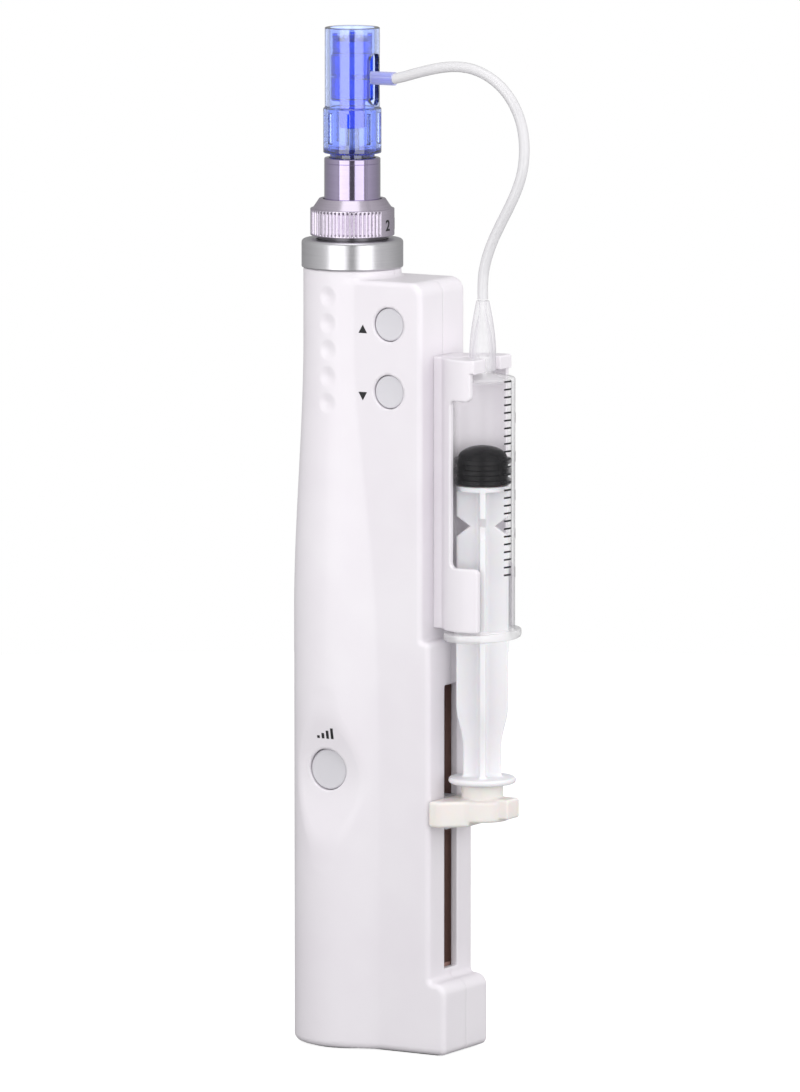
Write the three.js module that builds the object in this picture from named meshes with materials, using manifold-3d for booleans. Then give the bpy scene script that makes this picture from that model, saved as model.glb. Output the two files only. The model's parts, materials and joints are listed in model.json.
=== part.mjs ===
import * as THREE from 'three';
import { mergeVertices } from 'three/addons/utils/BufferGeometryUtils.js';
import Module from 'manifold-3d';

const wasm = await Module();
wasm.setup();

// A microneedling pen that carries a syringe along its side and stands on its foot.
// Lengths are in millimetres. The origin is the grip's axis at the foot, +Z runs up the pen,
// -Y is the front with the buttons, and +X is the side that carries the syringe.

// Clearances
const fit = 0.3; // running gap between neighbouring pieces
const seat = 0.05; // gap between flat faces that rest on each other
const seam = 0.3; // gap between the two half shells
const overrun = 3; // how far a cutter runs past what it cuts

// Smoothness, in segments
const roundLarge = 44;
const roundMedium = 24;
const roundSmall = 12;
const cornerSteps = 3;
const taperSteps = 7;
const facetSteps = 10;
const edgeSteps = 2;
const needleSides = 6;

// Housing: a round grip with a flat box along its +X side
const wall = 1.6;
const gripRadius = 12.65;
const gripTop = 168.9;
const taperLength = 60;
const straightTop = 14.9; // straight stretch of the grip above the taper
const footRounding = 1.5;
const boxHalfDepth = 9.45;
const boxDrop = 1.7; // the box ends this far under the grip's top
const boxCorner = 3;
const railLedge = 2; // how far the rail stands out from the box
const railDrop = 78.9; // the rail ends this far under the grip's top
const baseLedge = 3.9; // how far the foot stands out from the rail
const baseTop = 16;
const edgeRadius = 1.2;
const railRounding = 0.1; // rounding of the rail's outer corner beyond the edges' radius
const baseRounding = 1.3;
const ledgeInnerShare = 0.83; // of what the outer rounding leaves of a ledge
const capWall = 3; // thickness of the grip's top wall

const boxTop = gripTop - boxDrop;
const railTop = gripTop - railDrop;
const taperTop = gripTop - straightTop;
const taperBottom = taperTop - taperLength;

// Foot pad, let into the housing's floor
const padThickness = 1.3;
const padProud = 0.4; // how far the pad stands below the housing
const padInset = 2.4;
const floorTop = padThickness + wall;

// Finger dimples down the front of the grip
const dimpleCount = 5;
const dimplePitch = 5.9;
const dimpleDrop = 4.5; // from the grip's top to the first dimple
const dimpleBall = 5;
const dimpleDepth = 0.45;

// Speed button's facet, a shallow dish in the front of the grip
const facetDrop = 2; // from the speed button's middle down to the facet's
const facetHalfLength = 17.1;
const facetDepth = 2.25;

// Buttons
const smallButtonRadius = 3.55;
const largeButtonRadius = 4.4;
const buttonRecess = 0.3;
const buttonTravel = 0.6;
const buttonFlange = 0.8;
const buttonFlangeWidth = 0.85;
const buttonSetback = 8; // from the box's side face to the buttons' middle
const upButtonDrop = 9.2; // from the box's top to the up button
const buttonPitch = 14.5;
const speedButtonDrop = 26.5; // under the middle screw post

// Switches and boards
const switchSize = 4.5;
const switchBody = 1.2;
const switchStem = 0.5;
const switchStemRadius = 1.1;
const boardThickness = 1;
const boardOverhang = 4.2; // board beyond the last switch's middle
const boardHalfWidth = 6; // from the buttons' middle to the board's left edge
const boardEdgeGap = 0.4; // between the board's right edge and the box's wall
const controlBoardHalfWidth = 7;
const controlBoardDrop = 16; // board below the speed button
const controlBoardGap = 7.4; // between the board's top and the middle screw post
const boardPostRadius = 1.4;

// Neck, collar and depth ring
const neckWall = 1.15;
const neckFlangeWidth = 1;
const neckFlangeGap = 0.45; // between the neck's flange and the grip's wall
const neckFlange = 2.2;
const neckBelowFlange = 5.4;
const neckFloor = 3;
const collarWidth = 3.45; // how far the collar stands out from the neck
const collarHeight = 6.1;
const collarRounding = 0.9;
const ringGap = 0.8;
const ringSkirt = 1.27; // thickness of the ring round the neck
const ringHeight = 5.8;
const ringRibs = 60;
const ringRibDepth = 0.22;
const coneHeight = 2.1;
const coneLip = 0.8; // thickness of the cone's top round the sleeve
const ringWall = 0.9; // thickness of the ring's top wall under the cone

// Nose sleeve
const sleeveRadius = 6.05;
const sleeveExposed = 8.8;
const sleeveWall = 0.95;
const sleeveChamfer = 0.35;
const depthTravel = 2.5; // how far the depth ring moves the sleeve in all

// Cartridge
const cartridgeGap = 1; // dark neck seen between sleeve and cartridge
const cartridgeNeckLength = 7.2;
const cartridgeRadius = 6.25;
const cartridgeUpperRadius = 5.9;
const cartridgeWall = 1.05;
const bandHeight = 1.1;
const fingerHeight = 8.6;
const upperShellHeight = 17.3;
const fingerCount = 8;
const fingerGap = 0.8;
const portSlotWidth = 3.7;
const portSlotBelow = 5.8;
const portSlotAbove = 5.2;

// Needle block inside the cartridge
const tipDrop = 1.2; // needle tips below the cartridge's rim at rest
const needleLength = 0.9;
const needleRadius = 0.16;
const needleRing = 2.1;
const needleCount = 8;
const plateThickness = 0.8;
const blockGap = 0.65; // between the block and the cartridge's wall
const blockHeight = 11.8;
const stemRadius = 2.75;
const stemLength = 6.9;
const nippleRise = 4;
const nippleRadius = 1.2;
const nippleReach = 10.1; // from the axis to the nipple's tip
const ductRadius = 0.5;

// Needle drive
const rodRadius = 1.5;
const bushWall = 1;
const bushFlange = 1.2;
const bushFlangeWidth = 0.8;
const springWall = 0.5;
const springLength = 14.6;
const footDiscRadius = 5.2;
const footDisc = 1.5;
const fingerLength = 2;
const fingerRadius = 0.9;
const stroke = 2.5; // how far the cam lifts the push rod
const camRadius = 5.4;
const camHub = 7.5; // cam below its slope
const camGrip = 4.5; // how far the motor's shaft reaches into the cam
const motorGap = 2.4; // between motor and cam
const motorRadius = 8.2;
const motorLength = 31;
const shaftRadius = 1;
const shaftLength = 15;
const motorRib = 1.8;
const motorRibShares = [0.2, 0.78];

// Battery
const cellClearance = 0.4;
const cellBottom = 13;
const cellTopGap = 21; // between the cell's top and the middle shell screw

// Syringe drive behind the rail's slot
const driveGap = 2.3; // between the needle motor and the syringe's gearbox
const driveSideGap = 0.7; // between the gearbox and the box's wall
const screwRadius = 1.5;
const slotHalfWidth = 2.7;
const slotBottom = 18.3;
const slotTopDrop = 10; // under the rail's top
const channelWall = 1;
const channelEnd = 2.5;
const channelHalfWidth = 4.2;
const channelBack = 4.8;
const bearingWall = 0.9;
const bearingFlange = 0.8;
const screwHead = 1.6;
const couplingLength = 6.4;
const couplingWall = 0.7;
const gearboxHalfWidth = 5.9;
const gearboxHalfDepth = 4.9;
const gearboxHeight = 9;
const driveShaftRadius = 1;
const driveMotorHeight = 15;
const driveMotorCorner = 2.4;

// Carriage and pusher
const pusherDrop = 29.8; // from the slot's top to the pusher's bottom
const pusherHeight = 5.6;
const pusherBar = 2.7; // thickness at the bar's ends
const pusherCornerShare = 0.44; // of the bar's thickness
const pusherOverhang = 0.7; // bar beyond the rail's half depth
const carriageBelow = 3.2; // carriage below the pusher
const carriageAbove = 2.2;
const carriageBack = 3.8;
const carriageFront = 5;
const neckBelow = 1.6; // light grey neck seen under the pusher
const nutWall = 1.1;
const nutEnd = 2;
const armHalfWidth = 5.8; // where the bar's taper meets the boss
const armEndRadius = 6;
const armRise = 1;
const bossRadius = 4.5;
const bossHeight = 8.7; // from the pusher's bottom to the boss's top
const tabReach = 7.8;
const tabHalfWidth = 2.6;
const tabRise = 1.7;
const tabHeight = 4.3;

// Syringe
const syringeRadius = 7;
const syringeWall = 0.7;
const syringeLift = 0.6; // the syringe starts this far above the rail
const flangeThickness = 1.7;
const flangeOverhangX = 0.3; // the finger flange beyond the barrel
const flangeOverhangY = 4.3;
const barrelLength = 54.8; // from the flange to the shoulder's top
const shoulderHeight = 1.4;
const luerTipRadius = 2;
const luerTipLength = 6;
const luerDuct = 0.9;
const stopperDrop = 21.4; // from the shoulder's top to the stopper's bottom
const stopperHeight = 5.5;
const stopperTip = 2.7;
const stopperRib = 0.35;
const stopperRibCount = 3;
const finThickness = 1.4;
const finGap = 0.7; // between the fins and the bore
const finLowHalfWidth = 4.1;
const finTaperBottom = 8.4; // above the thumb disc
const finTaper = 5;
const thumbDisc = 1.3;
const thumbOverhang = 0.25; // the thumb disc beyond the barrel
const thumbGap = 0.55; // between the thumb disc and the rail
const plungerTopDisc = 1.2;
const notchDrop = 8.9; // from the plunger's top to the fins' notch
const notchDepth = 2.9;
const notchHalf = 2.2;

// Luer hub and hose
const hubRadius = 2.85;
const hubTopRadius = 1.4;
const hubCone = 10.6;
const hubStraight = 7;
const hubWall = 0.6;
const hoseRadius = 1.125;
const hoseSteps = 24;
const hoseSides = 8;

// Cradle that clips the syringe to the box
const cradleWall = 1.3;
const lowerClampHeight = 13.8;
const upperClampHeight = 6;
const forkThickness = 2.9;
const lowerClampReach = 3.3;
const upperClampReach = 1.7;
const middleReach = -3.5; // of the wall between the clamps, from the syringe's axis
const cradleWebHalf = 4.2;
const hubShow = 2.9; // fork's underside above the syringe's shoulder
const cradleScrewInset = 2.5; // from the cradle's foot to its lower screw

// Screws
const screwShank = 1;
const screwHeadRadius = 1.9;
const screwHeadHeight = 1.3;
const postWall = 0.9;
const postGrip = 5; // shank's length in each half of a post
const lowerPostHeight = 7.4;
const middlePostDrop = 7; // under the needle motor
const upperPostDrop = 8.5; // under the down button
const upperPostOffset = -1.9; // from the lead screw's axis

// Charging socket in the foot
const socketSetback = 11.5; // from the foot's side face
const socketHalfLength = 4.45;
const socketHalfWidth = 1.6;
const socketWall = 0.35;
const socketDepth = 7;
const socketTongue = 0.5;
const chargeBoardHalfX = 6;
const chargeBoardHalfY = 4.5;

// Leads
const leadRadius = 0.5;
const leadSides = 6;
const leadSteps = 12;
const leadBow = 2.2; // how far a lead bows out on its way
const leadSpread = 2; // from a board's edge to the lead that meets it

// Places worked out from the sizes
const neckRadius = sleeveRadius + fit + neckWall;
const neckFlangeRadius = neckRadius + neckFlangeWidth;
const gripTopRadius = neckFlangeRadius + neckFlangeGap + wall;
const collarRadius = neckRadius + collarWidth;
const ringRadius = neckRadius + fit + ringSkirt;
const coneTopRadius = sleeveRadius + fit + coneLip;
const screwX = motorRadius + driveGap + gearboxHalfDepth;
const boxReach = screwX + gearboxHalfDepth + driveSideGap + wall; // from the grip's axis to the box's side face
const railReach = boxReach + railLedge;
const baseReach = railReach + baseLedge;
const socketX = baseReach - socketSetback;
const thumbRadius = syringeRadius + thumbOverhang;
const syringeOffset = railLedge + thumbGap + thumbRadius; // from the box's side face to the syringe's axis
const syringeX = boxReach + syringeOffset;
const buttonX = boxReach - buttonSetback;
const upButtonZ = boxTop - upButtonDrop;
const downButtonZ = upButtonZ - buttonPitch;
const collarBottom = gripTop + seat;
const collarTop = collarBottom + collarHeight;
const ringBottom = collarTop + ringGap;
const ringTop = ringBottom + ringHeight;
const coneTop = ringTop + coneHeight;
const sleeveTop = coneTop + sleeveExposed;
const cartridgeBottom = sleeveTop + cartridgeGap;
const bandTop = cartridgeBottom + bandHeight;
const fingerTop = bandTop + fingerHeight;
const cartridgeTop = fingerTop + upperShellHeight;
const blockRadius = cartridgeUpperRadius - cartridgeWall - blockGap;
const tipZ = cartridgeTop - tipDrop;
const plateTop = tipZ - needleLength;
const blockTop = plateTop - plateThickness;
const blockBottom = blockTop - blockHeight;
const stemBottom = blockBottom - stemLength;
const nippleZ = blockBottom + nippleRise;
const neckFlangeTop = gripTop - capWall - fit;
const neckFlangeBottom = neckFlangeTop - neckFlange;
const neckBottom = neckFlangeBottom - neckBelowFlange;
const neckTop = ringTop - ringWall - fit;
const neckFloorTop = neckBottom + neckFloor;
const sleeveBottom = neckFloorTop + depthTravel + bushFlange + fit;
const cartridgeNeckRadius = sleeveRadius - sleeveWall - fit;
const cartridgeNeckBottom = cartridgeBottom - cartridgeNeckLength;
const springTop = neckBottom - bushFlange - fit;
const springBottom = springTop - springLength;
const footTop = springBottom - fit;
const footBottom = footTop - footDisc;
const camTop = footBottom - fingerLength - fit;
const camLow = camTop - stroke;
const camBottom = camLow - camHub;
const motorTop = camBottom - motorGap;
const motorBottom = motorTop - motorLength;
const middlePostZ = motorBottom - middlePostDrop;
const speedButtonHeight = middlePostZ - speedButtonDrop;
const facetHeight = speedButtonHeight - facetDrop;
const postRadius = screwHeadRadius + fit + postWall;
const upperPostZ = downButtonZ - upperPostDrop;
const upperPostX = screwX + upperPostOffset;
const cellTop = middlePostZ - cellTopGap;
const speedFace = gripRadius - facetDepth;
const slotTop = railTop - slotTopDrop;
const pusherBottom = slotTop - pusherDrop;
const channelBottom = slotBottom - fit - wall;
const channelTop = slotTop + channelEnd + wall;
const screwBottom = channelBottom - screwHead - fit;
const couplingBottom = channelTop + bearingFlange + fit;
const couplingTop = couplingBottom + couplingLength;
const syringeBottom = railTop + syringeLift;
const flangeTop = syringeBottom + flangeThickness;
const cradleBottom = flangeTop + fit;
const lowerCradleScrew = Math.max(cradleBottom, couplingTop) + cradleScrewInset;
const gearboxBottom = lowerCradleScrew + screwHeadRadius + fit;
const gearboxTop = gearboxBottom + gearboxHeight;
const driveMotorTop = gearboxTop + seat + driveMotorHeight;
const cradleScrewHeights = [lowerCradleScrew, driveMotorTop + screwHeadRadius + wall];
const shoulderTop = syringeBottom + barrelLength;
const boreRadius = syringeRadius - syringeWall;
const finHalfWidth = boreRadius - finGap;
const stopperBottom = shoulderTop - stopperDrop;
const forkBottom = shoulderTop + hubShow;
const forkTop = forkBottom + forkThickness;
const bossTop = pusherBottom + bossHeight;
const thumbBottom = bossTop + fit;
const thumbTop = thumbBottom + thumbDisc;
const plungerTop = stopperBottom - fit;
const hubBottom = shoulderTop + fit;
const hubTop = hubBottom + hubStraight + hubCone;
const cradleScrewTip = wall + fit + seat - syringeOffset; // on the syringe's axis
const speedBack = wall - speedFace; // these depths run from the grip's axis to the back
const controlBoardFront = speedBack + fit + buttonFlange + buttonTravel + fit + switchStem + switchBody;
const boxWallBack = wall - boxHalfDepth;
const buttonBoardFront = boxWallBack + fit + buttonFlange + buttonTravel + fit + switchStem + switchBody;
const motorShaftTop = camBottom + camGrip;
const motorShaftBottom = motorShaftTop - shaftLength;
const bearingRadius = screwRadius + fit + bearingWall;
const driveShaftBottom = couplingBottom + couplingLength / 2 + fit;
const driveShaftTop = gearboxBottom + gearboxHeight / 2;
const carriageBottom = pusherBottom - carriageBelow;
const carriageTop = pusherBottom + pusherHeight + carriageAbove;
const nutRadius = screwRadius + fit + nutWall;
const cellFront = controlBoardFront + boardThickness + cellClearance;
const cellBack = gripRadius - wall - cellClearance;
const cellRadius = (cellBack - cellFront) / 2;
const controlTop = middlePostZ - postRadius - controlBoardGap;
const controlBottom = speedButtonHeight - controlBoardDrop;
const leadRoom = leadRadius + fit; // from a lead's middle to its neighbour
const buttonLeadX = Math.min(screwX - gearboxHalfDepth, screwX - channelBack - channelWall) - leadRoom - fit;

// Colours and finishes
const pearl = { color: 0xece6ec, roughness: 0.35, metalness: 0 };
const lightGrey = { color: 0xc9c8cc, roughness: 0.45, metalness: 0 };
const lilacMetal = { color: 0xb9a6c4, roughness: 0.2, metalness: 1 };
const satinMetal = { color: 0xb8b8bc, roughness: 0.4, metalness: 1 };
const blueClear = { color: 0x4a63dd, roughness: 0.1, metalness: 0 };
const clearPlastic = { color: 0xe6e3e8, roughness: 0.15, metalness: 0 };
const whitePlastic = { color: 0xf4f3f8, roughness: 0.35, metalness: 0 };
const cream = { color: 0xe9e4de, roughness: 0.45, metalness: 0 };
const blackRubber = { color: 0x17171a, roughness: 0.6, metalness: 0 };
const darkBrown = { color: 0x4a352c, roughness: 0.5, metalness: 0 };
const steel = { color: 0x9a9ca0, roughness: 0.3, metalness: 1 };
const brass = { color: 0xb8964e, roughness: 0.35, metalness: 1 };
const greenBoard = { color: 0x1f6b3a, roughness: 0.5, metalness: 0 };
const blueFilm = { color: 0x2a5fae, roughness: 0.4, metalness: 0 };
const greyRubber = { color: 0x6f6d72, roughness: 0.8, metalness: 0 };
const redLead = { color: 0xa8322c, roughness: 0.5, metalness: 0 };

// Solids and their joins and cuts

function withoutSlivers(index) {
  const kept = [];
  for (let i = 0; i < index.length; i += 3) {
    const [a, b, c] = [index[i], index[i + 1], index[i + 2]];
    if (a !== b && b !== c && c !== a) kept.push(a, b, c);
  }
  return kept;
}

function closed(geometry) {
  const bare = geometry.clone();
  bare.deleteAttribute('normal');
  bare.deleteAttribute('uv');
  const merged = mergeVertices(bare);
  merged.setIndex(withoutSlivers(merged.index.array));
  merged.computeVertexNormals();
  return merged;
}

function toSolid(geometry) {
  const merged = closed(geometry);
  const vertProperties = Float32Array.from(merged.attributes.position.array);
  const triVerts = Uint32Array.from(merged.index.array);
  return new wasm.Manifold(new wasm.Mesh({ numProp: 3, vertProperties, triVerts }));
}

function toGeometry(solid) {
  const mesh = solid.getMesh();
  const geometry = new THREE.BufferGeometry();
  geometry.setAttribute('position', new THREE.BufferAttribute(mesh.vertProperties, 3));
  geometry.setIndex(Array.from(mesh.triVerts));
  geometry.computeVertexNormals();
  return geometry;
}

function joined(first, ...rest) {
  return rest.reduce((whole, piece) => whole.add(toSolid(piece)), toSolid(first));
}

function less(solid, ...cutters) {
  return cutters.reduce((left, cutter) => left.subtract(toSolid(cutter)), solid);
}

// Outlines

function signedArea(points) {
  return points.reduce((sum, [x, y], i) => {
    const [nextX, nextY] = points[(i + 1) % points.length];
    return sum + x * nextY - nextX * y;
  }, 0);
}

function shapeOf(points) {
  return new THREE.Shape(points.map(([x, y]) => new THREE.Vector2(x, y)));
}

function arcPoints(x, y, radius, from, to, steps) {
  return Array.from({ length: steps + 1 }, (_, i) => {
    const angle = from + ((to - from) * i) / steps;
    return [x + radius * Math.cos(angle), y + radius * Math.sin(angle)];
  });
}

// Corners are [x, y, radius], counter-clockwise; a radius of 0 stays sharp
function roundedPoints(corners) {
  return corners.flatMap(([x, y, radius], i) => {
    if (!radius) return [[x, y]];
    const corner = new THREE.Vector2(x, y);
    const before = corners[(i + corners.length - 1) % corners.length];
    const after = corners[(i + 1) % corners.length];
    const back = new THREE.Vector2(before[0], before[1]).sub(corner).normalize();
    const ahead = new THREE.Vector2(after[0], after[1]).sub(corner).normalize();
    const half = Math.acos(back.dot(ahead)) / 2;
    const centre = back.clone().add(ahead).normalize().multiplyScalar(radius / Math.sin(half)).add(corner);
    const start = back.multiplyScalar(radius / Math.tan(half)).add(corner).sub(centre);
    const end = ahead.multiplyScalar(radius / Math.tan(half)).add(corner).sub(centre);
    const from = start.angle();
    let sweep = end.angle() - from;
    if (sweep > Math.PI) sweep -= 2 * Math.PI;
    if (sweep < -Math.PI) sweep += 2 * Math.PI;
    return arcPoints(centre.x, centre.y, radius, from, from + sweep, cornerSteps);
  });
}

// The same corners with every edge moved inwards
function insetCorners(corners, distance) {
  const edges = corners.map(([x, y], i) => {
    const [nextX, nextY] = corners[(i + 1) % corners.length];
    const along = new THREE.Vector2(nextX - x, nextY - y).normalize();
    const inwards = new THREE.Vector2(-along.y, along.x).multiplyScalar(distance);
    return { start: new THREE.Vector2(x, y).add(inwards), along };
  });
  return corners.map(([, , radius], i) => {
    const before = edges[(i + edges.length - 1) % edges.length];
    const after = edges[i];
    const turn = before.along.cross(after.along);
    const apart = after.start.clone().sub(before.start);
    const reach = apart.cross(after.along) / turn;
    const corner = before.along.clone().multiplyScalar(reach).add(before.start);
    const kept = turn > 0 ? Math.max(radius - distance, 0) : radius + distance;
    return [corner.x, corner.y, radius ? kept : 0];
  });
}

function boxCorners(left, right, low, high, radius = 0) {
  return [[left, low, radius], [right, low, radius], [right, high, radius], [left, high, radius]];
}

// Swept and turned forms

// Outline in X and Y, swept up Z
function upright(points, bottom, top) {
  const settings = { depth: top - bottom, bevelEnabled: false };
  return new THREE.ExtrudeGeometry(shapeOf(points), settings).translate(0, 0, bottom);
}

// Outline in X and Z, swept along Y, with an optional rounded edge at both ends
function sideways(points, front, back, rounding = 0) {
  const settings = {
    depth: back - front - 2 * rounding,
    bevelEnabled: rounding > 0,
    bevelThickness: rounding,
    bevelSize: rounding,
    bevelOffset: -rounding,
    bevelSegments: edgeSteps,
  };
  const swept = new THREE.ExtrudeGeometry(shapeOf(points), settings);
  return swept.rotateX(Math.PI / 2).translate(0, back - rounding, 0);
}

// Outline in Y and Z, swept along X
function across(points, left, right) {
  const swept = new THREE.ExtrudeGeometry(shapeOf(points), { depth: right - left, bevelEnabled: false });
  const turn = new THREE.Matrix4().makeBasis(
    new THREE.Vector3(0, 1, 0),
    new THREE.Vector3(0, 0, 1),
    new THREE.Vector3(1, 0, 0),
  );
  return swept.applyMatrix4(turn).translate(left, 0, 0);
}

// Profile of [radius, height] corners that close on themselves, turned about Z
function turned(profile, around = roundMedium) {
  const ordered = signedArea(profile) < 0 ? [...profile].reverse() : profile;
  const points = [...ordered, ordered[0]].map(([radius, height]) => new THREE.Vector2(radius, height));
  return new THREE.LatheGeometry(points, around).rotateX(Math.PI / 2);
}

function rod(radius, bottom, top, around = roundSmall) {
  return turned([[0, bottom], [radius, bottom], [radius, top], [0, top]], around);
}

function tube(inner, outer, bottom, top, around = roundMedium) {
  return turned([[inner, bottom], [outer, bottom], [outer, top], [inner, top]], around);
}

function block(left, right, front, back, bottom, top) {
  const box = new THREE.BoxGeometry(right - left, back - front, top - bottom);
  return box.translate((left + right) / 2, (front + back) / 2, (bottom + top) / 2);
}

// A rod whose axis runs along Y
function rodAlongY(radius, x, z, front, back, around = roundSmall) {
  return rod(radius, -back, -front, around).rotateX(Math.PI / 2).translate(x, 0, z);
}

// A rod whose axis runs along X
function rodAlongX(radius, y, z, left, right, around = roundSmall) {
  return rod(radius, left, right, around).rotateY(Math.PI / 2).translate(0, y, z);
}

// Round sweep of points along a smooth line
function swept(points, radius, sides, steps) {
  const line = new THREE.CatmullRomCurve3(points, false, 'catmullrom', 0.5);
  const section = shapeOf(arcPoints(0, 0, radius, 0, 2 * Math.PI * (1 - 1 / sides), sides - 1));
  return new THREE.ExtrudeGeometry(section, { steps, extrudePath: line, bevelEnabled: false });
}

// Housing

function gripRadiusAt(height) {
  const share = THREE.MathUtils.clamp((height - taperBottom) / taperLength, 0, 1);
  return THREE.MathUtils.lerp(gripRadius, gripTopRadius, share * share * (3 - 2 * share));
}

function gripSide(inset, top) {
  const rings = Array.from({ length: taperSteps + 1 }, (_, i) => {
    const height = taperBottom + (taperLength * i) / taperSteps;
    return [gripRadiusAt(height) - inset, height];
  });
  return [...rings, [gripTopRadius - inset, top]];
}

function outlineCorners() {
  const railOuter = edgeRadius + railRounding;
  const railInner = (railLedge - railOuter) * ledgeInnerShare;
  const baseOuter = edgeRadius + baseRounding;
  const baseInner = (baseLedge - baseOuter) * ledgeInnerShare;
  return [
    [0, padProud, 0],
    [baseReach, padProud, footRounding],
    [baseReach, baseTop, baseOuter],
    [railReach, baseTop, baseInner],
    [railReach, railTop, railOuter],
    [boxReach, railTop, railInner],
    [boxReach, boxTop, boxCorner],
    [0, boxTop, 0],
  ];
}

function facetCutter(inset) {
  const curve = Array.from({ length: facetSteps + 1 }, (_, i) => {
    const share = (2 * i) / facetSteps - 1;
    const depth = facetDepth * (1 - share * share) ** 2;
    return [depth + inset - gripRadius, facetHeight + facetHalfLength * share];
  });
  const outside = -gripRadius - overrun;
  const ends = [
    [outside, facetHeight + facetHalfLength],
    [outside, facetHeight - facetHalfLength],
  ];
  return across([...curve, ...ends], -gripRadius, gripRadius);
}

function outerForm() {
  const bottomArc = arcPoints(gripRadius - footRounding, padProud + footRounding, footRounding, -Math.PI / 2, 0, cornerSteps);
  const grip = turned([[0, padProud], ...bottomArc, ...gripSide(0, gripTop), [0, gripTop]], roundLarge);
  const box = sideways(roundedPoints(outlineCorners()), -boxHalfDepth, boxHalfDepth, edgeRadius);
  const dimples = Array.from({ length: dimpleCount }, (_, i) => {
    const height = gripTop - dimpleDrop - i * dimplePitch;
    const ball = new THREE.SphereGeometry(dimpleBall, roundSmall, roundMedium);
    return ball.translate(0, dimpleDepth - gripRadiusAt(height) - dimpleBall, height);
  });
  return less(joined(grip, box), facetCutter(0), ...dimples);
}

function innerForm() {
  const top = gripTop - capWall;
  const grip = turned([[0, floorTop], [gripRadius - wall, floorTop], ...gripSide(wall, top), [0, top]], roundLarge);
  const corners = insetCorners(outlineCorners(), wall).map(([x, z, radius]) => [x, Math.max(z, floorTop), radius]);
  const box = sideways(roundedPoints(corners), wall - boxHalfDepth, boxHalfDepth - wall);
  return less(joined(grip, box), facetCutter(wall));
}

// Foot outline in X and Y: the grip's circle and the foot's rectangle
function footPoints(inset) {
  const radius = gripRadius - inset;
  const half = boxHalfDepth - inset;
  const meet = Math.asin(half / radius);
  const round = arcPoints(0, 0, radius, meet, 2 * Math.PI - meet, roundMedium);
  const reach = baseReach - inset;
  const corner = edgeRadius;
  return [
    ...round,
    ...arcPoints(reach - corner, corner - half, corner, -Math.PI / 2, 0, cornerSteps),
    ...arcPoints(reach - corner, half - corner, corner, 0, Math.PI / 2, cornerSteps),
  ];
}

function stadium(halfLength, halfWidth, x) {
  const middle = halfLength - halfWidth;
  return [
    ...arcPoints(x + middle, 0, halfWidth, -Math.PI / 2, Math.PI / 2, 2 * cornerSteps),
    ...arcPoints(x - middle, 0, halfWidth, Math.PI / 2, (3 * Math.PI) / 2, 2 * cornerSteps),
  ];
}

const shellPosts = [
  [0, lowerPostHeight],
  [0, middlePostZ],
  [upperPostX, upperPostZ],
];

function insideRibs() {
  const ribs = motorRibShares.map((share) => {
    const bottom = motorBottom + motorLength * share;
    return toSolid(tube(motorRadius + fit, gripRadius, bottom, bottom + motorRib));
  });
  ribs.push(toSolid(tube(neckRadius + fit, gripRadius, neckFlangeBottom - fit - wall, neckFlangeBottom - fit)));
  const reach = Math.min(buttonLeadX - leadRoom, buttonX - boardHalfWidth - fit);
  const room = block(-gripRadius, reach, -gripRadius, gripRadius, 0, gripTop);
  return ribs.map((rib) => rib.intersect(toSolid(room)));
}

function housing() {
  const outer = outerForm();
  const inner = innerForm();
  const posts = shellPosts.map(([x, z]) => toSolid(rodAlongY(postRadius, x, z, -gripRadius, gripRadius)));
  const boardPosts = [
    rodAlongY(boardPostRadius, buttonX, (upButtonZ + downButtonZ) / 2, -boxHalfDepth, buttonBoardFront - fit),
    rodAlongY(boardPostRadius, 0, controlBottom + boardPostRadius + fit, -gripRadius, controlBoardFront - fit),
  ].map(toSolid);
  const fill = [...posts, ...insideRibs(), ...boardPosts];
  const hollow = fill.reduce((left, piece) => left.subtract(piece), inner);
  const walls = outer.subtract(hollow);
  const slotCorners = boxCorners(-slotHalfWidth, slotHalfWidth, slotBottom, slotTop);
  const cuts = [
    rod(neckRadius + fit, neckFlangeTop, gripTop + overrun, roundMedium),
    across(roundedPoints(slotCorners), railReach - wall - overrun, railReach + overrun),
    upright(footPoints(padInset - fit), -overrun, padThickness),
    upright(stadium(socketHalfLength + fit, socketHalfWidth + fit, socketX), -overrun, floorTop + overrun),
    rodAlongY(smallButtonRadius + fit, buttonX, upButtonZ, -boxHalfDepth - overrun, -boxHalfDepth + wall, roundMedium),
    rodAlongY(smallButtonRadius + fit, buttonX, downButtonZ, -boxHalfDepth - overrun, -boxHalfDepth + wall, roundMedium),
    rodAlongY(largeButtonRadius + fit, 0, speedButtonHeight, -gripRadius - overrun, speedBack, roundMedium),
    ...cradleScrewHeights.map((z) => rodAlongX(screwShank + fit, 0, z, boxReach - wall - overrun, boxReach + overrun)),
    ...shellPosts.map(([x, z]) => rodAlongY(screwShank + fit, x, z, -postGrip - fit, gripRadius + overrun)),
    ...shellPosts.map(([x, z]) => rodAlongY(screwHeadRadius + fit, x, z, postGrip, gripRadius + overrun)),
  ];
  return less(walls, ...cuts);
}

function halfShell(whole, front, back) {
  const half = block(-gripRadius - overrun, baseReach + overrun, front, back, -overrun, gripTop + overrun);
  return toGeometry(whole.intersect(toSolid(half)));
}

const wholeHousing = housing();
const frontShell = halfShell(wholeHousing, -gripRadius - overrun, -seam / 2);
const rearShell = halfShell(wholeHousing, seam / 2, gripRadius + overrun);

function footPad() {
  const pad = toSolid(upright(footPoints(padInset), 0, padThickness - seat));
  const hole = upright(stadium(socketHalfLength + fit, socketHalfWidth + fit, socketX), -overrun, overrun);
  return toGeometry(less(pad, hole));
}

// A screw with its head up, its shank's tip at zero
function screw(shankLength) {
  return turned([
    [0, 0],
    [screwShank, 0],
    [screwShank, shankLength],
    [screwHeadRadius, shankLength],
    [screwHeadRadius, shankLength + screwHeadHeight],
    [0, shankLength + screwHeadHeight],
  ], roundSmall);
}

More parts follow.
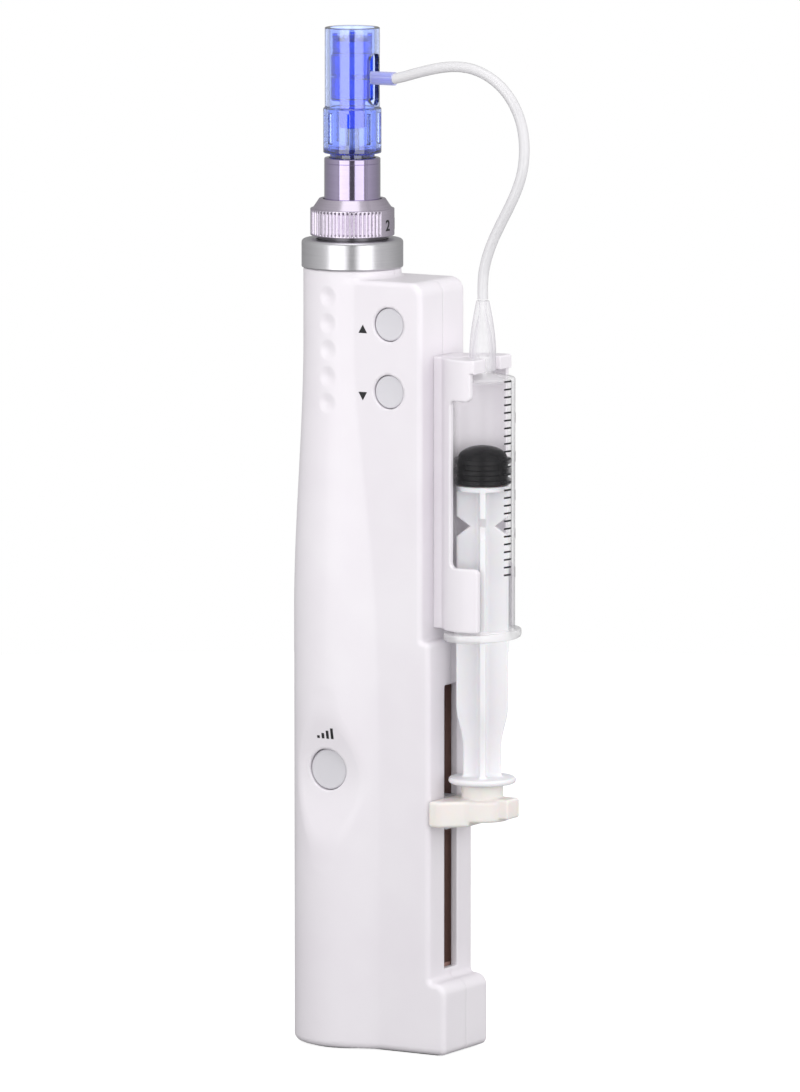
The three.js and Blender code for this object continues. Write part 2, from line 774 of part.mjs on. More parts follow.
// Buttons, switches and boards

// Its face looks up and lies at zero
function button(radius, through) {
  const flangeTop = -through - fit;
  return turned([
    [0, 0],
    [radius - fit, 0],
    [radius, -fit],
    [radius, flangeTop],
    [radius + buttonFlangeWidth, flangeTop],
    [radius + buttonFlangeWidth, flangeTop - buttonFlange],
    [0, flangeTop - buttonFlange],
  ]);
}

// Its stem looks up and its foot lies at zero
function tactSwitch() {
  const half = switchSize / 2;
  const body = block(-half, half, -half, half, 0, switchBody);
  const stem = rod(switchStemRadius, switchBody / 2, switchBody + switchStem);
  return toGeometry(joined(body, stem));
}

function buttonBoard() {
  const left = buttonX - boardHalfWidth;
  const right = boxReach - wall - boardEdgeGap;
  const back = buttonBoardFront + boardThickness;
  return block(left, right, buttonBoardFront, back, downButtonZ - boardOverhang, upButtonZ + boardOverhang);
}

function controlBoard() {
  const back = controlBoardFront + boardThickness;
  return block(-controlBoardHalfWidth, controlBoardHalfWidth, controlBoardFront, back, controlBottom, controlTop);
}

// Neck, collar, ring and sleeve

function neckTube() {
  const bore = sleeveRadius + fit;
  return turned([
    [rodRadius + fit + bushWall + fit, neckBottom],
    [neckRadius, neckBottom],
    [neckRadius, neckFlangeBottom],
    [neckFlangeRadius, neckFlangeBottom],
    [neckFlangeRadius, neckFlangeTop],
    [neckRadius, neckFlangeTop],
    [neckRadius, neckTop],
    [bore, neckTop],
    [bore, neckFloorTop],
    [rodRadius + fit + bushWall + fit, neckFloorTop],
  ]);
}

function collarRing() {
  const side = collarRadius - collarRounding;
  return turned([
    [neckRadius + fit, collarBottom],
    ...arcPoints(side, collarBottom + collarRounding, collarRounding, -Math.PI / 2, 0, cornerSteps),
    ...arcPoints(side, collarTop - collarRounding, collarRounding, 0, Math.PI / 2, cornerSteps),
    [neckRadius + fit, collarTop],
  ]);
}

function depthRing() {
  const teeth = Array.from({ length: 2 * ringRibs }, (_, i) => {
    const radius = i % 2 ? ringRadius : ringRadius - ringRibDepth;
    const angle = (Math.PI * i) / ringRibs;
    return [radius * Math.cos(angle), radius * Math.sin(angle)];
  });
  const inner = ringRadius - ringRibDepth;
  const cone = turned([
    [0, ringTop - ringWall],
    [inner - fit, ringTop - ringWall],
    [inner - fit, ringTop],
    [coneTopRadius, coneTop],
    [0, coneTop],
  ]);
  const body = joined(upright(teeth, ringBottom, ringTop), cone);
  const skirt = rod(neckRadius + fit, ringBottom - overrun, ringTop - ringWall, roundMedium);
  const bore = rod(sleeveRadius + fit, ringBottom, coneTop + overrun, roundMedium);
  return toGeometry(less(body, skirt, bore));
}

function noseSleeve() {
  const socket = sleeveRadius - sleeveWall;
  const lowBore = cartridgeNeckRadius - sleeveWall;
  const socketFloor = cartridgeNeckBottom - fit;
  return turned([
    [lowBore, sleeveBottom],
    [sleeveRadius, sleeveBottom],
    [sleeveRadius, sleeveTop - sleeveChamfer],
    [sleeveRadius - sleeveChamfer, sleeveTop],
    [socket, sleeveTop],
    [socket, socketFloor],
    [lowBore, socketFloor],
  ]);
}

// Cartridge

function cartridgeShell() {
  const neckBore = cartridgeNeckRadius - cartridgeWall;
  const lowInner = cartridgeRadius - cartridgeWall;
  const highInner = cartridgeUpperRadius - cartridgeWall;
  const body = turned([
    [neckBore, cartridgeNeckBottom],
    [cartridgeNeckRadius, cartridgeNeckBottom],
    [cartridgeNeckRadius, cartridgeBottom],
    [cartridgeRadius, cartridgeBottom],
    [cartridgeRadius, fingerTop],
    [cartridgeUpperRadius, fingerTop],
    [cartridgeUpperRadius, cartridgeTop],
    [highInner, cartridgeTop],
    [highInner, fingerTop],
    [lowInner, fingerTop],
    [lowInner, bandTop],
    [neckBore, bandTop],
  ]);
  const slot = stadium((portSlotBelow + portSlotAbove) / 2, portSlotWidth / 2, 0).map(([along, side]) => [side, along]);
  const slotMiddle = nippleZ + (portSlotAbove - portSlotBelow) / 2;
  const port = across(slot, highInner / 2, cartridgeRadius + overrun).translate(0, 0, slotMiddle);
  const gaps = Array.from({ length: fingerCount }, (_, i) => {
    const half = fingerGap / 2;
    const gap = block(lowInner - cartridgeWall, cartridgeRadius + overrun, -half, half, bandTop + half, fingerTop - half);
    return gap.rotateZ((2 * Math.PI * (i + 1 / 2)) / fingerCount);
  });
  return toGeometry(less(toSolid(body), port, ...gaps));
}

function needleBlock() {
  const body = turned([
    [0, stemBottom],
    [stemRadius, stemBottom],
    [stemRadius, blockBottom],
    [blockRadius, blockBottom],
    [blockRadius, blockTop],
    [0, blockTop],
  ]);
  const nipple = rodAlongX(nippleRadius, 0, nippleZ, blockRadius / 2, nippleReach);
  const duct = rodAlongX(ductRadius, 0, nippleZ, 0, nippleReach + overrun, hoseSides);
  return toGeometry(less(joined(body, nipple), duct));
}

function needlePlate() {
  const plate = rod(blockRadius - fit, blockTop + seat, plateTop, roundMedium);
  const needles = Array.from({ length: needleCount }, (_, i) => {
    const angle = (2 * Math.PI * i) / needleCount;
    const length = needleLength + seat;
    const needle = new THREE.ConeGeometry(needleRadius, length, needleSides).rotateX(Math.PI / 2);
    return needle.translate(needleRing * Math.cos(angle), needleRing * Math.sin(angle), tipZ - length / 2);
  });
  return toGeometry(joined(plate, ...needles));
}

// Needle drive

function pushRod() {
  const disc = rod(footDiscRadius, footBottom, footTop, roundMedium);
  const shaft = rod(rodRadius, footBottom, stemBottom - seat);
  const finger = rod(fingerRadius, footBottom - fingerLength, footTop - seat);
  finger.translate(fingerRadius - footDiscRadius, 0, 0);
  return toGeometry(joined(disc, shaft, finger));
}

function rodBush() {
  const inner = rodRadius + fit;
  const outer = inner + bushWall;
  return turned([
    [inner, neckBottom - bushFlange],
    [outer + bushFlangeWidth, neckBottom - bushFlange],
    [outer + bushFlangeWidth, neckBottom - seat],
    [outer, neckBottom - seat],
    [outer, neckFloorTop],
    [inner, neckFloorTop],
  ]);
}

function driveCam() {
  const drum = toSolid(rod(camRadius, camBottom, camTop, roundMedium));
  const length = 3 * camRadius;
  const slope = Math.atan2(stroke, 2 * camRadius);
  const above = block(-length, length, -length, length, 0, length).rotateY(-slope);
  above.translate(0, 0, camTop - stroke / 2);
  const bore = rod(shaftRadius + fit, camBottom - overrun, motorShaftTop + fit);
  return toGeometry(less(drum, above, bore));
}

function needleMotor() {
  return turned([
    [0, motorBottom],
    [motorRadius, motorBottom],
    [motorRadius, motorTop],
    [shaftRadius + fit, motorTop],
    [shaftRadius + fit, motorShaftBottom - fit],
    [0, motorShaftBottom - fit],
  ]);
}

// Syringe drive

function guideChannel() {
  const left = screwX - channelBack - channelWall;
  const right = railReach - wall - fit;
  const half = channelHalfWidth + channelWall;
  const whole = toSolid(block(left, right, -half, half, channelBottom, channelTop));
  const inside = block(
    left + channelWall, right + overrun, -channelHalfWidth, channelHalfWidth,
    channelBottom + channelEnd, channelTop - channelEnd,
  );
  const bore = rod(bearingRadius + fit, channelBottom - overrun, channelTop + overrun).translate(screwX, 0, 0);
  return toGeometry(less(whole, inside, bore));
}

// A flanged bush that sits in an end of the channel, its flange up
function screwBearing() {
  const inner = screwRadius + fit;
  const flange = bearingRadius + bearingWall;
  return turned([
    [inner, 0],
    [bearingRadius, 0],
    [bearingRadius, channelEnd + seat],
    [flange, channelEnd + seat],
    [flange, channelEnd + bearingFlange],
    [inner, channelEnd + bearingFlange],
  ], roundSmall);
}

function leadScrew() {
  const head = bearingRadius;
  const top = couplingBottom + couplingLength / 2 - fit;
  return turned([
    [0, screwBottom],
    [head, screwBottom],
    [head, screwBottom + screwHead],
    [screwRadius, screwBottom + screwHead],
    [screwRadius, top],
    [0, top],
  ]);
}

function screwCoupling() {
  const outer = screwRadius + fit + couplingWall;
  const middle = couplingBottom + couplingLength / 2;
  return turned([
    [screwRadius + fit, couplingBottom],
    [outer, couplingBottom],
    [outer, couplingTop],
    [driveShaftRadius + fit, couplingTop],
    [driveShaftRadius + fit, middle],
    [screwRadius + fit, middle],
  ]);
}

function driveGearbox() {
  const height = [gearboxBottom, gearboxTop];
  const body = block(-gearboxHalfDepth, gearboxHalfDepth, -gearboxHalfWidth, gearboxHalfWidth, ...height);
  const bore = rod(driveShaftRadius + fit, gearboxBottom - overrun, driveShaftTop + fit);
  return toGeometry(less(toSolid(body), bore));
}

function driveMotor() {
  const corners = boxCorners(
    -gearboxHalfDepth, gearboxHalfDepth, -gearboxHalfWidth, gearboxHalfWidth, driveMotorCorner,
  );
  return upright(roundedPoints(corners), gearboxTop + seat, driveMotorTop);
}

// Carriage, nut and pusher

function slideCarriage() {
  const half = channelHalfWidth - fit;
  const body = block(screwX - carriageBack, screwX + carriageFront, -half, half, carriageBottom, carriageTop);
  const neckHalf = slotHalfWidth - fit;
  const neck = block(screwX, railReach, -neckHalf, neckHalf, pusherBottom - neckBelow, pusherBottom + pusherHeight);
  const axis = rod(screwRadius + fit, carriageBottom - overrun, carriageTop + overrun);
  const room = rod(nutRadius + fit, carriageBottom + nutEnd, carriageTop + overrun);
  return toGeometry(less(joined(body, neck), axis.translate(screwX, 0, 0), room.translate(screwX, 0, 0)));
}

function driveNut() {
  return tube(screwRadius + fit, nutRadius, carriageBottom + nutEnd + seat, carriageTop, roundSmall);
}

function pusherArm() {
  const left = railReach + fit;
  const right = left + pusherBar;
  const half = boxHalfDepth + pusherOverhang;
  const top = pusherBottom + pusherHeight;
  const corner = pusherBar * pusherCornerShare;
  const plan = [
    [left, -half, corner],
    [right, -half, corner],
    [syringeX, -armHalfWidth, 0],
    [syringeX, armHalfWidth, 0],
    [right, half, corner],
    [left, half, corner],
  ];
  const bar = upright(roundedPoints(plan), pusherBottom, top);
  const armBottom = pusherBottom + armRise;
  const end = rod(armEndRadius, armBottom, top - seat, roundMedium).translate(syringeX, 0, 0);
  const boss = rod(bossRadius, armBottom + seat, bossTop, roundMedium).translate(syringeX, 0, 0);
  const tabBottom = pusherBottom + tabRise;
  const tab = block(syringeX, syringeX + tabReach, -tabHalfWidth, tabHalfWidth, tabBottom, tabBottom + tabHeight);
  return toGeometry(joined(bar, end, boss, tab));
}

// Syringe, on its own axis

function syringeBarrel() {
  const shoulderBottom = shoulderTop - shoulderHeight;
  const tipTop = shoulderTop + luerTipLength;
  const outside = turned([
    [0, syringeBottom],
    [syringeRadius, syringeBottom],
    [syringeRadius, shoulderBottom],
    [luerTipRadius, shoulderTop],
    [luerTipRadius, tipTop],
    [0, tipTop],
  ]);
  const bore = turned([
    [0, syringeBottom - overrun],
    [boreRadius, syringeBottom - overrun],
    [boreRadius, shoulderBottom - syringeWall],
    [luerDuct, shoulderTop - syringeWall],
    [luerDuct, tipTop + overrun],
    [0, tipTop + overrun],
  ]);
  const halfX = syringeRadius + flangeOverhangX;
  const halfY = syringeRadius + flangeOverhangY;
  const oval = Array.from({ length: roundMedium }, (_, i) => {
    const angle = (2 * Math.PI * (i + 1 / 2)) / roundMedium;
    return [halfX * Math.cos(angle), halfY * Math.sin(angle)];
  });
  return toGeometry(less(joined(outside, upright(oval, syringeBottom, flangeTop)), bore));
}

function rubberStopper() {
  const outer = boreRadius - fit;
  const groove = outer - stopperRib;
  const pitch = stopperHeight / (2 * stopperRibCount - 1);
  const side = Array.from({ length: stopperRibCount }, (_, i) => {
    const low = stopperBottom + 2 * i * pitch;
    const high = low + pitch;
    const last = i === stopperRibCount - 1;
    return last ? [[outer, low], [outer, high]] : [[outer, low], [outer, high], [groove, high], [groove, high + pitch]];
  }).flat();
  const top = stopperBottom + stopperHeight;
  return turned([[0, stopperBottom], ...side, [0, top + stopperTip]]);
}

function plungerFin() {
  const low = thumbTop - thumbDisc / 2;
  const bend = thumbTop + finTaperBottom;
  const notchZ = plungerTop - notchDrop;
  const right = [
    [finLowHalfWidth, low],
    [finLowHalfWidth, bend],
    [finHalfWidth, bend + finTaper],
    [finHalfWidth, notchZ - notchHalf],
    [finHalfWidth - notchDepth, notchZ],
    [finHalfWidth, notchZ + notchHalf],
    [finHalfWidth, plungerTop - plungerTopDisc / 2],
  ];
  const left = right.map(([x, z]) => [-x, z]).reverse();
  return sideways([...right, ...left], -finThickness / 2, finThickness / 2);
}

function plungerRod() {
  const disc = rod(thumbRadius, thumbBottom, thumbTop, roundMedium);
  const top = rod(finHalfWidth, plungerTop - plungerTopDisc, plungerTop, roundMedium);
  return toGeometry(joined(disc, top, plungerFin(), plungerFin().rotateZ(Math.PI / 2)));
}

function luerHub() {
  const socket = luerTipRadius + fit;
  const socketTop = shoulderTop + luerTipLength + fit;
  return turned([
    [socket, hubBottom],
    [hubRadius, hubBottom],
    [hubRadius, hubBottom + hubStraight],
    [hubTopRadius, hubTop],
    [hubTopRadius - hubWall, hubTop],
    [hubTopRadius - hubWall, socketTop],
    [socket, socketTop],
  ]);
}

// The hose leaves the nipple, rises in a loop and comes down into the hub
const hoseRoute = [
  [nippleReach + fit, nippleZ],
  [13.1, 210.5],
  [16.1, 211.35],
  [19.1, 212.1],
  [22, 212.7],
  [25, 213.05],
  [28, 213],
  [31, 212.4],
  [33.9, 211.2],
  [36.5, 209.5],
  [38.7, 207.3],
  [40.4, 204.8],
  [41.6, 202.1],
  [42.3, 199.3],
  [42.55, 196.4],
  [42.4, 193.4],
  [41.75, 190.2],
  [40.5, 186.9],
  [38.85, 183.6],
  [36.95, 180.2],
  [35.15, 176.8],
  [33.7, 173.4],
  [32.75, 170],
  [syringeX, 166.9],
  [syringeX, hubTop + fit],
];

function deliveryHose() {
  const points = hoseRoute.map(([x, z]) => new THREE.Vector3(x, 0, z));
  return swept(points, hoseRadius, hoseSides, hoseSteps);
}

// Cradle, on the syringe's axis

function syringeCradle() {
  const inner = syringeRadius + fit;
  const outer = inner + cradleWall;
  const back = seat - syringeOffset;
  const lowerTop = cradleBottom + lowerClampHeight;
  const upperBottom = forkBottom - upperClampHeight;
  const lower = less(
    toSolid(rod(outer, cradleBottom, lowerTop, roundMedium)),
    block(lowerClampReach, outer + overrun, -outer, outer, cradleBottom - overrun, lowerTop + overrun),
  );
  const upper = less(
    toSolid(rod(outer, upperBottom, forkTop, roundMedium)),
    block(upperClampReach, outer + overrun, -outer, outer, upperBottom - overrun, forkBottom),
    block(lowerClampReach, outer + overrun, -outer, outer, upperBottom, forkTop + overrun),
  );
  const middle = less(
    toSolid(rod(outer, cradleBottom, forkTop, roundMedium)),
    block(middleReach, outer + overrun, -outer, outer, cradleBottom - overrun, forkTop + overrun),
  );
  const web = toSolid(block(back, -inner / 2, -cradleWebHalf, cradleWebHalf, cradleBottom, forkTop));
  const half = hubRadius + fit;
  const notch = [...arcPoints(0, 0, half, Math.PI / 2, (3 * Math.PI) / 2, roundSmall), [outer, -half], [outer, half]];
  return toGeometry(less(
    web.add(middle).add(lower).add(upper),
    rod(inner, cradleBottom - overrun, forkBottom, roundMedium),
    upright(notch, forkBottom - overrun, forkTop + overrun),
    ...cradleScrewHeights.map((z) => rodAlongX(screwShank + fit, 0, z, back - overrun, cradleScrewTip)),
  ));
}

// Charging socket and its board

function chargingSocket() {
  const bottom = padProud + fit;
  const top = bottom + socketDepth;
  const wallTop = top - 2 * socketWall;
  const outer = toSolid(upright(stadium(socketHalfLength, socketHalfWidth, 0), bottom, top));
  const innerSize = [socketHalfLength - socketWall, socketHalfWidth - socketWall];
  const hollow = toSolid(upright(stadium(...innerSize, 0), bottom - overrun, wallTop));
  const tongueHalf = socketHalfLength - 3 * socketWall;
  const half = socketTongue / 2;
  const tongue = toSolid(block(-tongueHalf, tongueHalf, -half, half, bottom + socketTongue, top - socketWall));
  return toGeometry(outer.subtract(hollow).add(tongue));
}

function chargingBoard() {
  const bottom = padProud + fit + socketDepth + seat;
  return block(-chargeBoardHalfX, chargeBoardHalfX, -chargeBoardHalfY, chargeBoardHalfY, bottom, bottom + boardThickness);
}

// Leads between the cell, the motors and the boards

const controlMiddle = controlBoardFront + boardThickness / 2;
const controlSide = controlBoardHalfWidth - leadSpread;

function lead(points) {
  return swept(points.map(([x, y, z]) => new THREE.Vector3(x, y, z)), leadRadius, leadSides, leadSteps);
}

// From the top of the cell over to the back of the control board
function batteryLead() {
  const back = controlBoardFront + boardThickness + fit;
  const middle = cellFront + cellRadius;
  const rise = cellTop + leadBow;
  return lead([
    [-leadSpread, middle, cellTop + fit],
    [-leadSpread, middle - leadBow / 2, rise],
    [-leadSpread, (middle + back) / 2, rise + leadBow / 2],
    [-leadSpread, back + leadBow / 2, rise + leadBow / 2],
    [-leadSpread, back, rise + leadBow / 2],
  ]);
}

// From the foot of the needle motor down to the top of the control board
function motorLead() {
  const run = motorBottom - controlTop;
  return lead([
    [-controlSide, controlMiddle + leadBow, motorBottom - fit],
    [-controlSide - leadBow / 4, controlMiddle + leadBow, motorBottom - run / 4],
    [-controlSide - leadBow / 4, controlMiddle + leadBow / 2, motorBottom - run / 2],
    [-controlSide, controlMiddle, motorBottom - (3 * run) / 4],
    [-controlSide, controlMiddle, controlTop + fit],
  ]);
}

// From the button board past the motors to the top of the control board
function buttonLead() {
  const boardBottom = downButtonZ - boardOverhang;
  const left = buttonX - boardHalfWidth + leadRoom;
  const front = boxWallBack + leadRoom + fit;
  return lead([
    [left, buttonBoardFront + boardThickness / 2, boardBottom - fit],
    [left, buttonBoardFront, boardBottom - leadBow],
    [buttonLeadX, front + leadBow / 2, driveMotorTop],
    [buttonLeadX, front, gearboxTop],
    [buttonLeadX, front, gearboxBottom],
    [buttonLeadX - leadBow / 2, front + leadBow / 4, controlTop + leadBow * 2],
    [controlSide, controlMiddle, controlTop + leadBow],
    [controlSide, controlMiddle, controlTop + fit],
  ]);
}

// The pen, put together

const pen = new THREE.Group();

function add(parent, name, geometry, finish, x = 0, y = 0, z = 0) {
  const mesh = new THREE.Mesh(closed(geometry), new THREE.MeshStandardMaterial(finish));
  mesh.name = name;
  mesh.position.set(x, y, z);
  parent.add(mesh);
  return mesh;
}

add(pen, 'front_shell', frontShell, pearl);
add(pen, 'rear_shell', rearShell, pearl);
add(pen, 'foot_pad', footPad(), greyRubber);
shellPosts.forEach(([x, z], i) => {
  const name = `shell_screw_${['lower', 'middle', 'upper'][i]}`;
  const mesh = add(pen, name, screw(2 * postGrip), steel, x, -postGrip + seat, z);
  mesh.rotation.x = -Math.PI / 2;
});

const boardFaces = [
  ['up', upButtonZ],
  ['down', downButtonZ],
];
boardFaces.forEach(([name, z]) => {
  const face = buttonRecess - boxHalfDepth;
  const cap = add(pen, `${name}_button`, button(smallButtonRadius, wall - buttonRecess), lightGrey, buttonX, face, z);
  cap.rotation.x = Math.PI / 2;
  const tact = add(pen, `${name}_switch`, tactSwitch(), steel, buttonX, buttonBoardFront - seat, z);
  tact.rotation.x = Math.PI / 2;
});
add(pen, 'button_board', buttonBoard(), greenBoard);
const speedCap = button(largeButtonRadius, wall - buttonRecess);
add(pen, 'speed_button', speedCap, lightGrey, 0, buttonRecess - speedFace, speedButtonHeight).rotation.x = Math.PI / 2;
const speedTact = add(pen, 'speed_switch', tactSwitch(), steel, 0, controlBoardFront - seat, speedButtonHeight);
speedTact.rotation.x = Math.PI / 2;
add(pen, 'control_board', controlBoard(), greenBoard);

add(pen, 'neck_tube', neckTube(), satinMetal);
add(pen, 'collar_ring', collarRing(), satinMetal);
add(pen, 'depth_ring', depthRing(), lilacMetal);
add(pen, 'nose_sleeve', noseSleeve(), lilacMetal);
add(pen, 'cartridge_shell', cartridgeShell(), blueClear);
add(pen, 'needle_block', needleBlock(), blueClear);
add(pen, 'needle_plate', needlePlate(), steel);

add(pen, 'push_rod', pushRod(), steel);
add(pen, 'rod_bush', rodBush(), brass);
const springInner = rodRadius + fit;
add(pen, 'return_spring', tube(springInner, springInner + springWall, springBottom, springTop, roundSmall), steel);
add(pen, 'drive_cam', driveCam(), whitePlastic);
add(pen, 'motor_shaft', rod(shaftRadius, motorShaftBottom, motorShaftTop), steel);
add(pen, 'needle_motor', needleMotor(), steel);
add(pen, 'battery_cell', rod(cellRadius, cellBottom, cellTop, roundMedium), blueFilm, 0, cellFront + cellRadius);

add(pen, 'guide_channel', guideChannel(), darkBrown);
add(pen, 'slide_carriage', slideCarriage(), lightGrey);
add(pen, 'drive_nut', driveNut(), brass, screwX);
add(pen, 'pusher_arm', pusherArm(), cream);
add(pen, 'lead_screw', leadScrew(), steel, screwX);
add(pen, 'screw_bearing_lower', screwBearing(), brass, screwX, 0, channelBottom);
add(pen, 'screw_bearing_upper', screwBearing(), brass, screwX, 0, channelTop - channelEnd);
add(pen, 'screw_coupling', screwCoupling(), brass, screwX);
add(pen, 'gearbox_shaft', rod(driveShaftRadius, driveShaftBottom, driveShaftTop), steel, screwX);
add(pen, 'drive_gearbox', driveGearbox(), brass, screwX);
add(pen, 'drive_motor', driveMotor(), steel, screwX);

const syringe = new THREE.Group();
syringe.position.x = syringeX;
pen.add(syringe);
add(syringe, 'syringe_cradle', syringeCradle(), pearl);
add(syringe, 'syringe_barrel', syringeBarrel(), clearPlastic);
add(syringe, 'rubber_stopper', rubberStopper(), blackRubber);
add(syringe, 'plunger_rod', plungerRod(), whitePlastic);
add(syringe, 'luer_hub', luerHub(), clearPlastic);
add(pen, 'delivery_hose', deliveryHose(), clearPlastic);

cradleScrewHeights.forEach((z, i) => {
  const name = `cradle_screw_${['lower', 'upper'][i]}`;
  const mesh = add(pen, name, screw(wall), steel, boxReach - seat, 0, z);
  mesh.rotation.y = -Math.PI / 2;
});

add(pen, 'charging_socket', chargingSocket(), steel, socketX);
add(pen, 'charging_board', chargingBoard(), greenBoard, socketX);

add(pen, 'battery_lead', batteryLead(), redLead);
add(pen, 'motor_lead', motorLead(), redLead);
add(pen, 'button_lead', buttonLead(), redLead);

export default pen;
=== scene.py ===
"""Looks of the microneedling pen with its syringe feed, dressed round its fixed frame.

Lengths are in metres, in the frame's axes: +Z runs up the pen, -Y is the front with the buttons,
and +X is the side that carries the syringe.
"""

import json
import math

import bmesh
import bpy
import numpy as np
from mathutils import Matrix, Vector

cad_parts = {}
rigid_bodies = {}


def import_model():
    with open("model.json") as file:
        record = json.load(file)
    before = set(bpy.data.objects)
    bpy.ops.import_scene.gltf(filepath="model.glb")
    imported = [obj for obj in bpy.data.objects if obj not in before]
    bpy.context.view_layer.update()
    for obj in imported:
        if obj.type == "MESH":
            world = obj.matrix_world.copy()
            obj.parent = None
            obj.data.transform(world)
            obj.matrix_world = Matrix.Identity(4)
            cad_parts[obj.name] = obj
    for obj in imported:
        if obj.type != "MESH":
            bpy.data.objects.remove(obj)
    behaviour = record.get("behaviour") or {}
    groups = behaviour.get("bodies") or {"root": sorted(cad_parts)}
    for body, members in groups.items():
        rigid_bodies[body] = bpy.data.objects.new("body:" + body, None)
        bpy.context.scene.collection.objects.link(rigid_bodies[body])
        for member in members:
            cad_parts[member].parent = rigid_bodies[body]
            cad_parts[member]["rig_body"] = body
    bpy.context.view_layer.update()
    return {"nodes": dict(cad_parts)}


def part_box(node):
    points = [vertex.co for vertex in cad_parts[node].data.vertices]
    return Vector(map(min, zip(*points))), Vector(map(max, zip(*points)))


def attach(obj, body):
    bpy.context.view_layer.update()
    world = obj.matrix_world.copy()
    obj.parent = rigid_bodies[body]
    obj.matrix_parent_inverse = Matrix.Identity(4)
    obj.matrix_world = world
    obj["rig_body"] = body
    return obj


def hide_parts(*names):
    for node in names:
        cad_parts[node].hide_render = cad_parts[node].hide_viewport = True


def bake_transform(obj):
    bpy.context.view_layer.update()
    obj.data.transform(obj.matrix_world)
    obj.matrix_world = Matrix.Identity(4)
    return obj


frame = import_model()
nodes = frame["nodes"]

MM = 0.001
FIT = 0.3 * MM
SEAT = 0.05 * MM
OVERRUN = 3 * MM
TINY = 1e-12

# Roundings of edges, from a crisp one to a broad one
CRISP = 0.15 * MM
SLIGHT = 0.2 * MM
EASED = 0.3 * MM
ROUND = 0.4 * MM
FULL = 0.5 * MM
SOFT = 0.6 * MM
BROAD = 0.7 * MM


def low(node):
    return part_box(node)[0]


def high(node):
    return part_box(node)[1]


def middle(node):
    return (low(node) + high(node)) / 2


def span(node):
    """A node's two corners and its middle."""
    start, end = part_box(node)
    return start, end, (start + end) / 2


def towards(azimuth, elevation=0.0):
    """The way out to a place round the part; azimuth turns from the front to the right."""
    level = math.cos(elevation)
    return Vector((math.sin(azimuth) * level, -math.cos(azimuth) * level, math.sin(elevation)))


# Camera, at the photograph's viewing angle

IMAGE_SIZE = (800, 1092)
CAMERA_AZIMUTH = math.radians(30.5)
CAMERA_ELEVATION = math.radians(7.47)
FOCAL_PIXELS = 9700
SENSOR = 36
CAMERA_DISTANCE = 2.095
CAMERA_TARGET = Vector((8.82 * MM, 5.2 * MM, 108.3 * MM))


def make_camera():
    back = towards(CAMERA_AZIMUTH, CAMERA_ELEVATION)
    camera = bpy.data.objects.new("camera", bpy.data.cameras.new("camera"))
    bpy.context.scene.collection.objects.link(camera)
    camera.location = CAMERA_TARGET + back * CAMERA_DISTANCE
    camera.rotation_euler = (-back).to_track_quat("-Z", "Y").to_euler()
    camera.data.sensor_width = SENSOR
    camera.data.lens = SENSOR * FOCAL_PIXELS / max(IMAGE_SIZE)
    bpy.context.scene.camera = camera


make_camera()

# Distance fields: negative inside, positive outside

def either(a, b, radius=0.0):
    """Both forms joined, with a fillet of that radius where they meet."""
    near = np.hypot(np.maximum(radius - a, 0), np.maximum(radius - b, 0))
    return np.maximum(radius, np.minimum(a, b)) - near


def both(a, b, radius=0.0):
    """What the two forms share, with its edge rounded by that radius."""
    return -either(-a, -b, radius)


def without(a, b, radius=0.0):
    """The first form with the second cut away."""
    return both(a, -b, radius)


def slab(along, start, end):
    return np.maximum(start - along, along - end)


def smooth_share(value, start, end):
    share = np.clip((value - start) / (end - start), 0, 1)
    return share * share * (3 - 2 * share)


def rod_field(across, z, radius, bottom, top, edge=0.0):
    return both(across - radius, slab(z, bottom, top), edge)


def brick(x, y, z, start, end, side_edge, end_edge):
    """A block as deep behind the middle plane as in front of it."""
    sides = both(slab(x, start.x, end.x), np.abs(y) - end.y, side_edge)
    return both(sides, slab(z, start.z, end.z), end_edge)


# Surfaces of distance fields

GRADIENT_STEP = 1e-6
PROBES = np.array([[1, -1, -1], [-1, -1, 1], [-1, 1, -1], [1, 1, 1]], float)
ROOT_STEPS = 4
MARGIN_CELLS = 1.5
CELL_PULL = 0.02
NORMAL_SHARE = 0.12


def gradient(field, points):
    total = np.zeros_like(points)
    for probe in PROBES:
        total += probe * field(*(points + GRADIENT_STEP * probe).T)[:, None]
    length = np.linalg.norm(total, axis=1, keepdims=True)
    return total / np.maximum(length, TINY)


def crossings(field, values, axes, axis):
    """Where the grid's edges along one axis cross the surface, and which way they leave it."""
    lower = [slice(None)] * 3
    upper = [slice(None)] * 3
    lower[axis] = slice(None, -1)
    upper[axis] = slice(1, None)
    at = np.argwhere((values[tuple(lower)] < 0) != (values[tuple(upper)] < 0))
    ahead = at.copy()
    ahead[:, axis] += 1
    near = values[tuple(at.T)]
    far = values[tuple(ahead.T)]
    leaving = near < 0
    start = np.stack([axes[i][at[:, i]] for i in range(3)], axis=1)
    cell = axes[axis][1] - axes[axis][0]
    first = np.zeros(len(at))
    last = np.ones(len(at))
    for _ in range(ROOT_STEPS):
        share = first + (last - first) * near / (near - far)
        points = start.copy()
        points[:, axis] += share * cell
        value = field(*points.T)
        before = (value < 0) == leaving
        first = np.where(before, share, first)
        near = np.where(before, value, near)
        last = np.where(before, last, share)
        far = np.where(before, far, value)
        near = np.where(near == far, near + TINY, near)
    return at, leaving, points


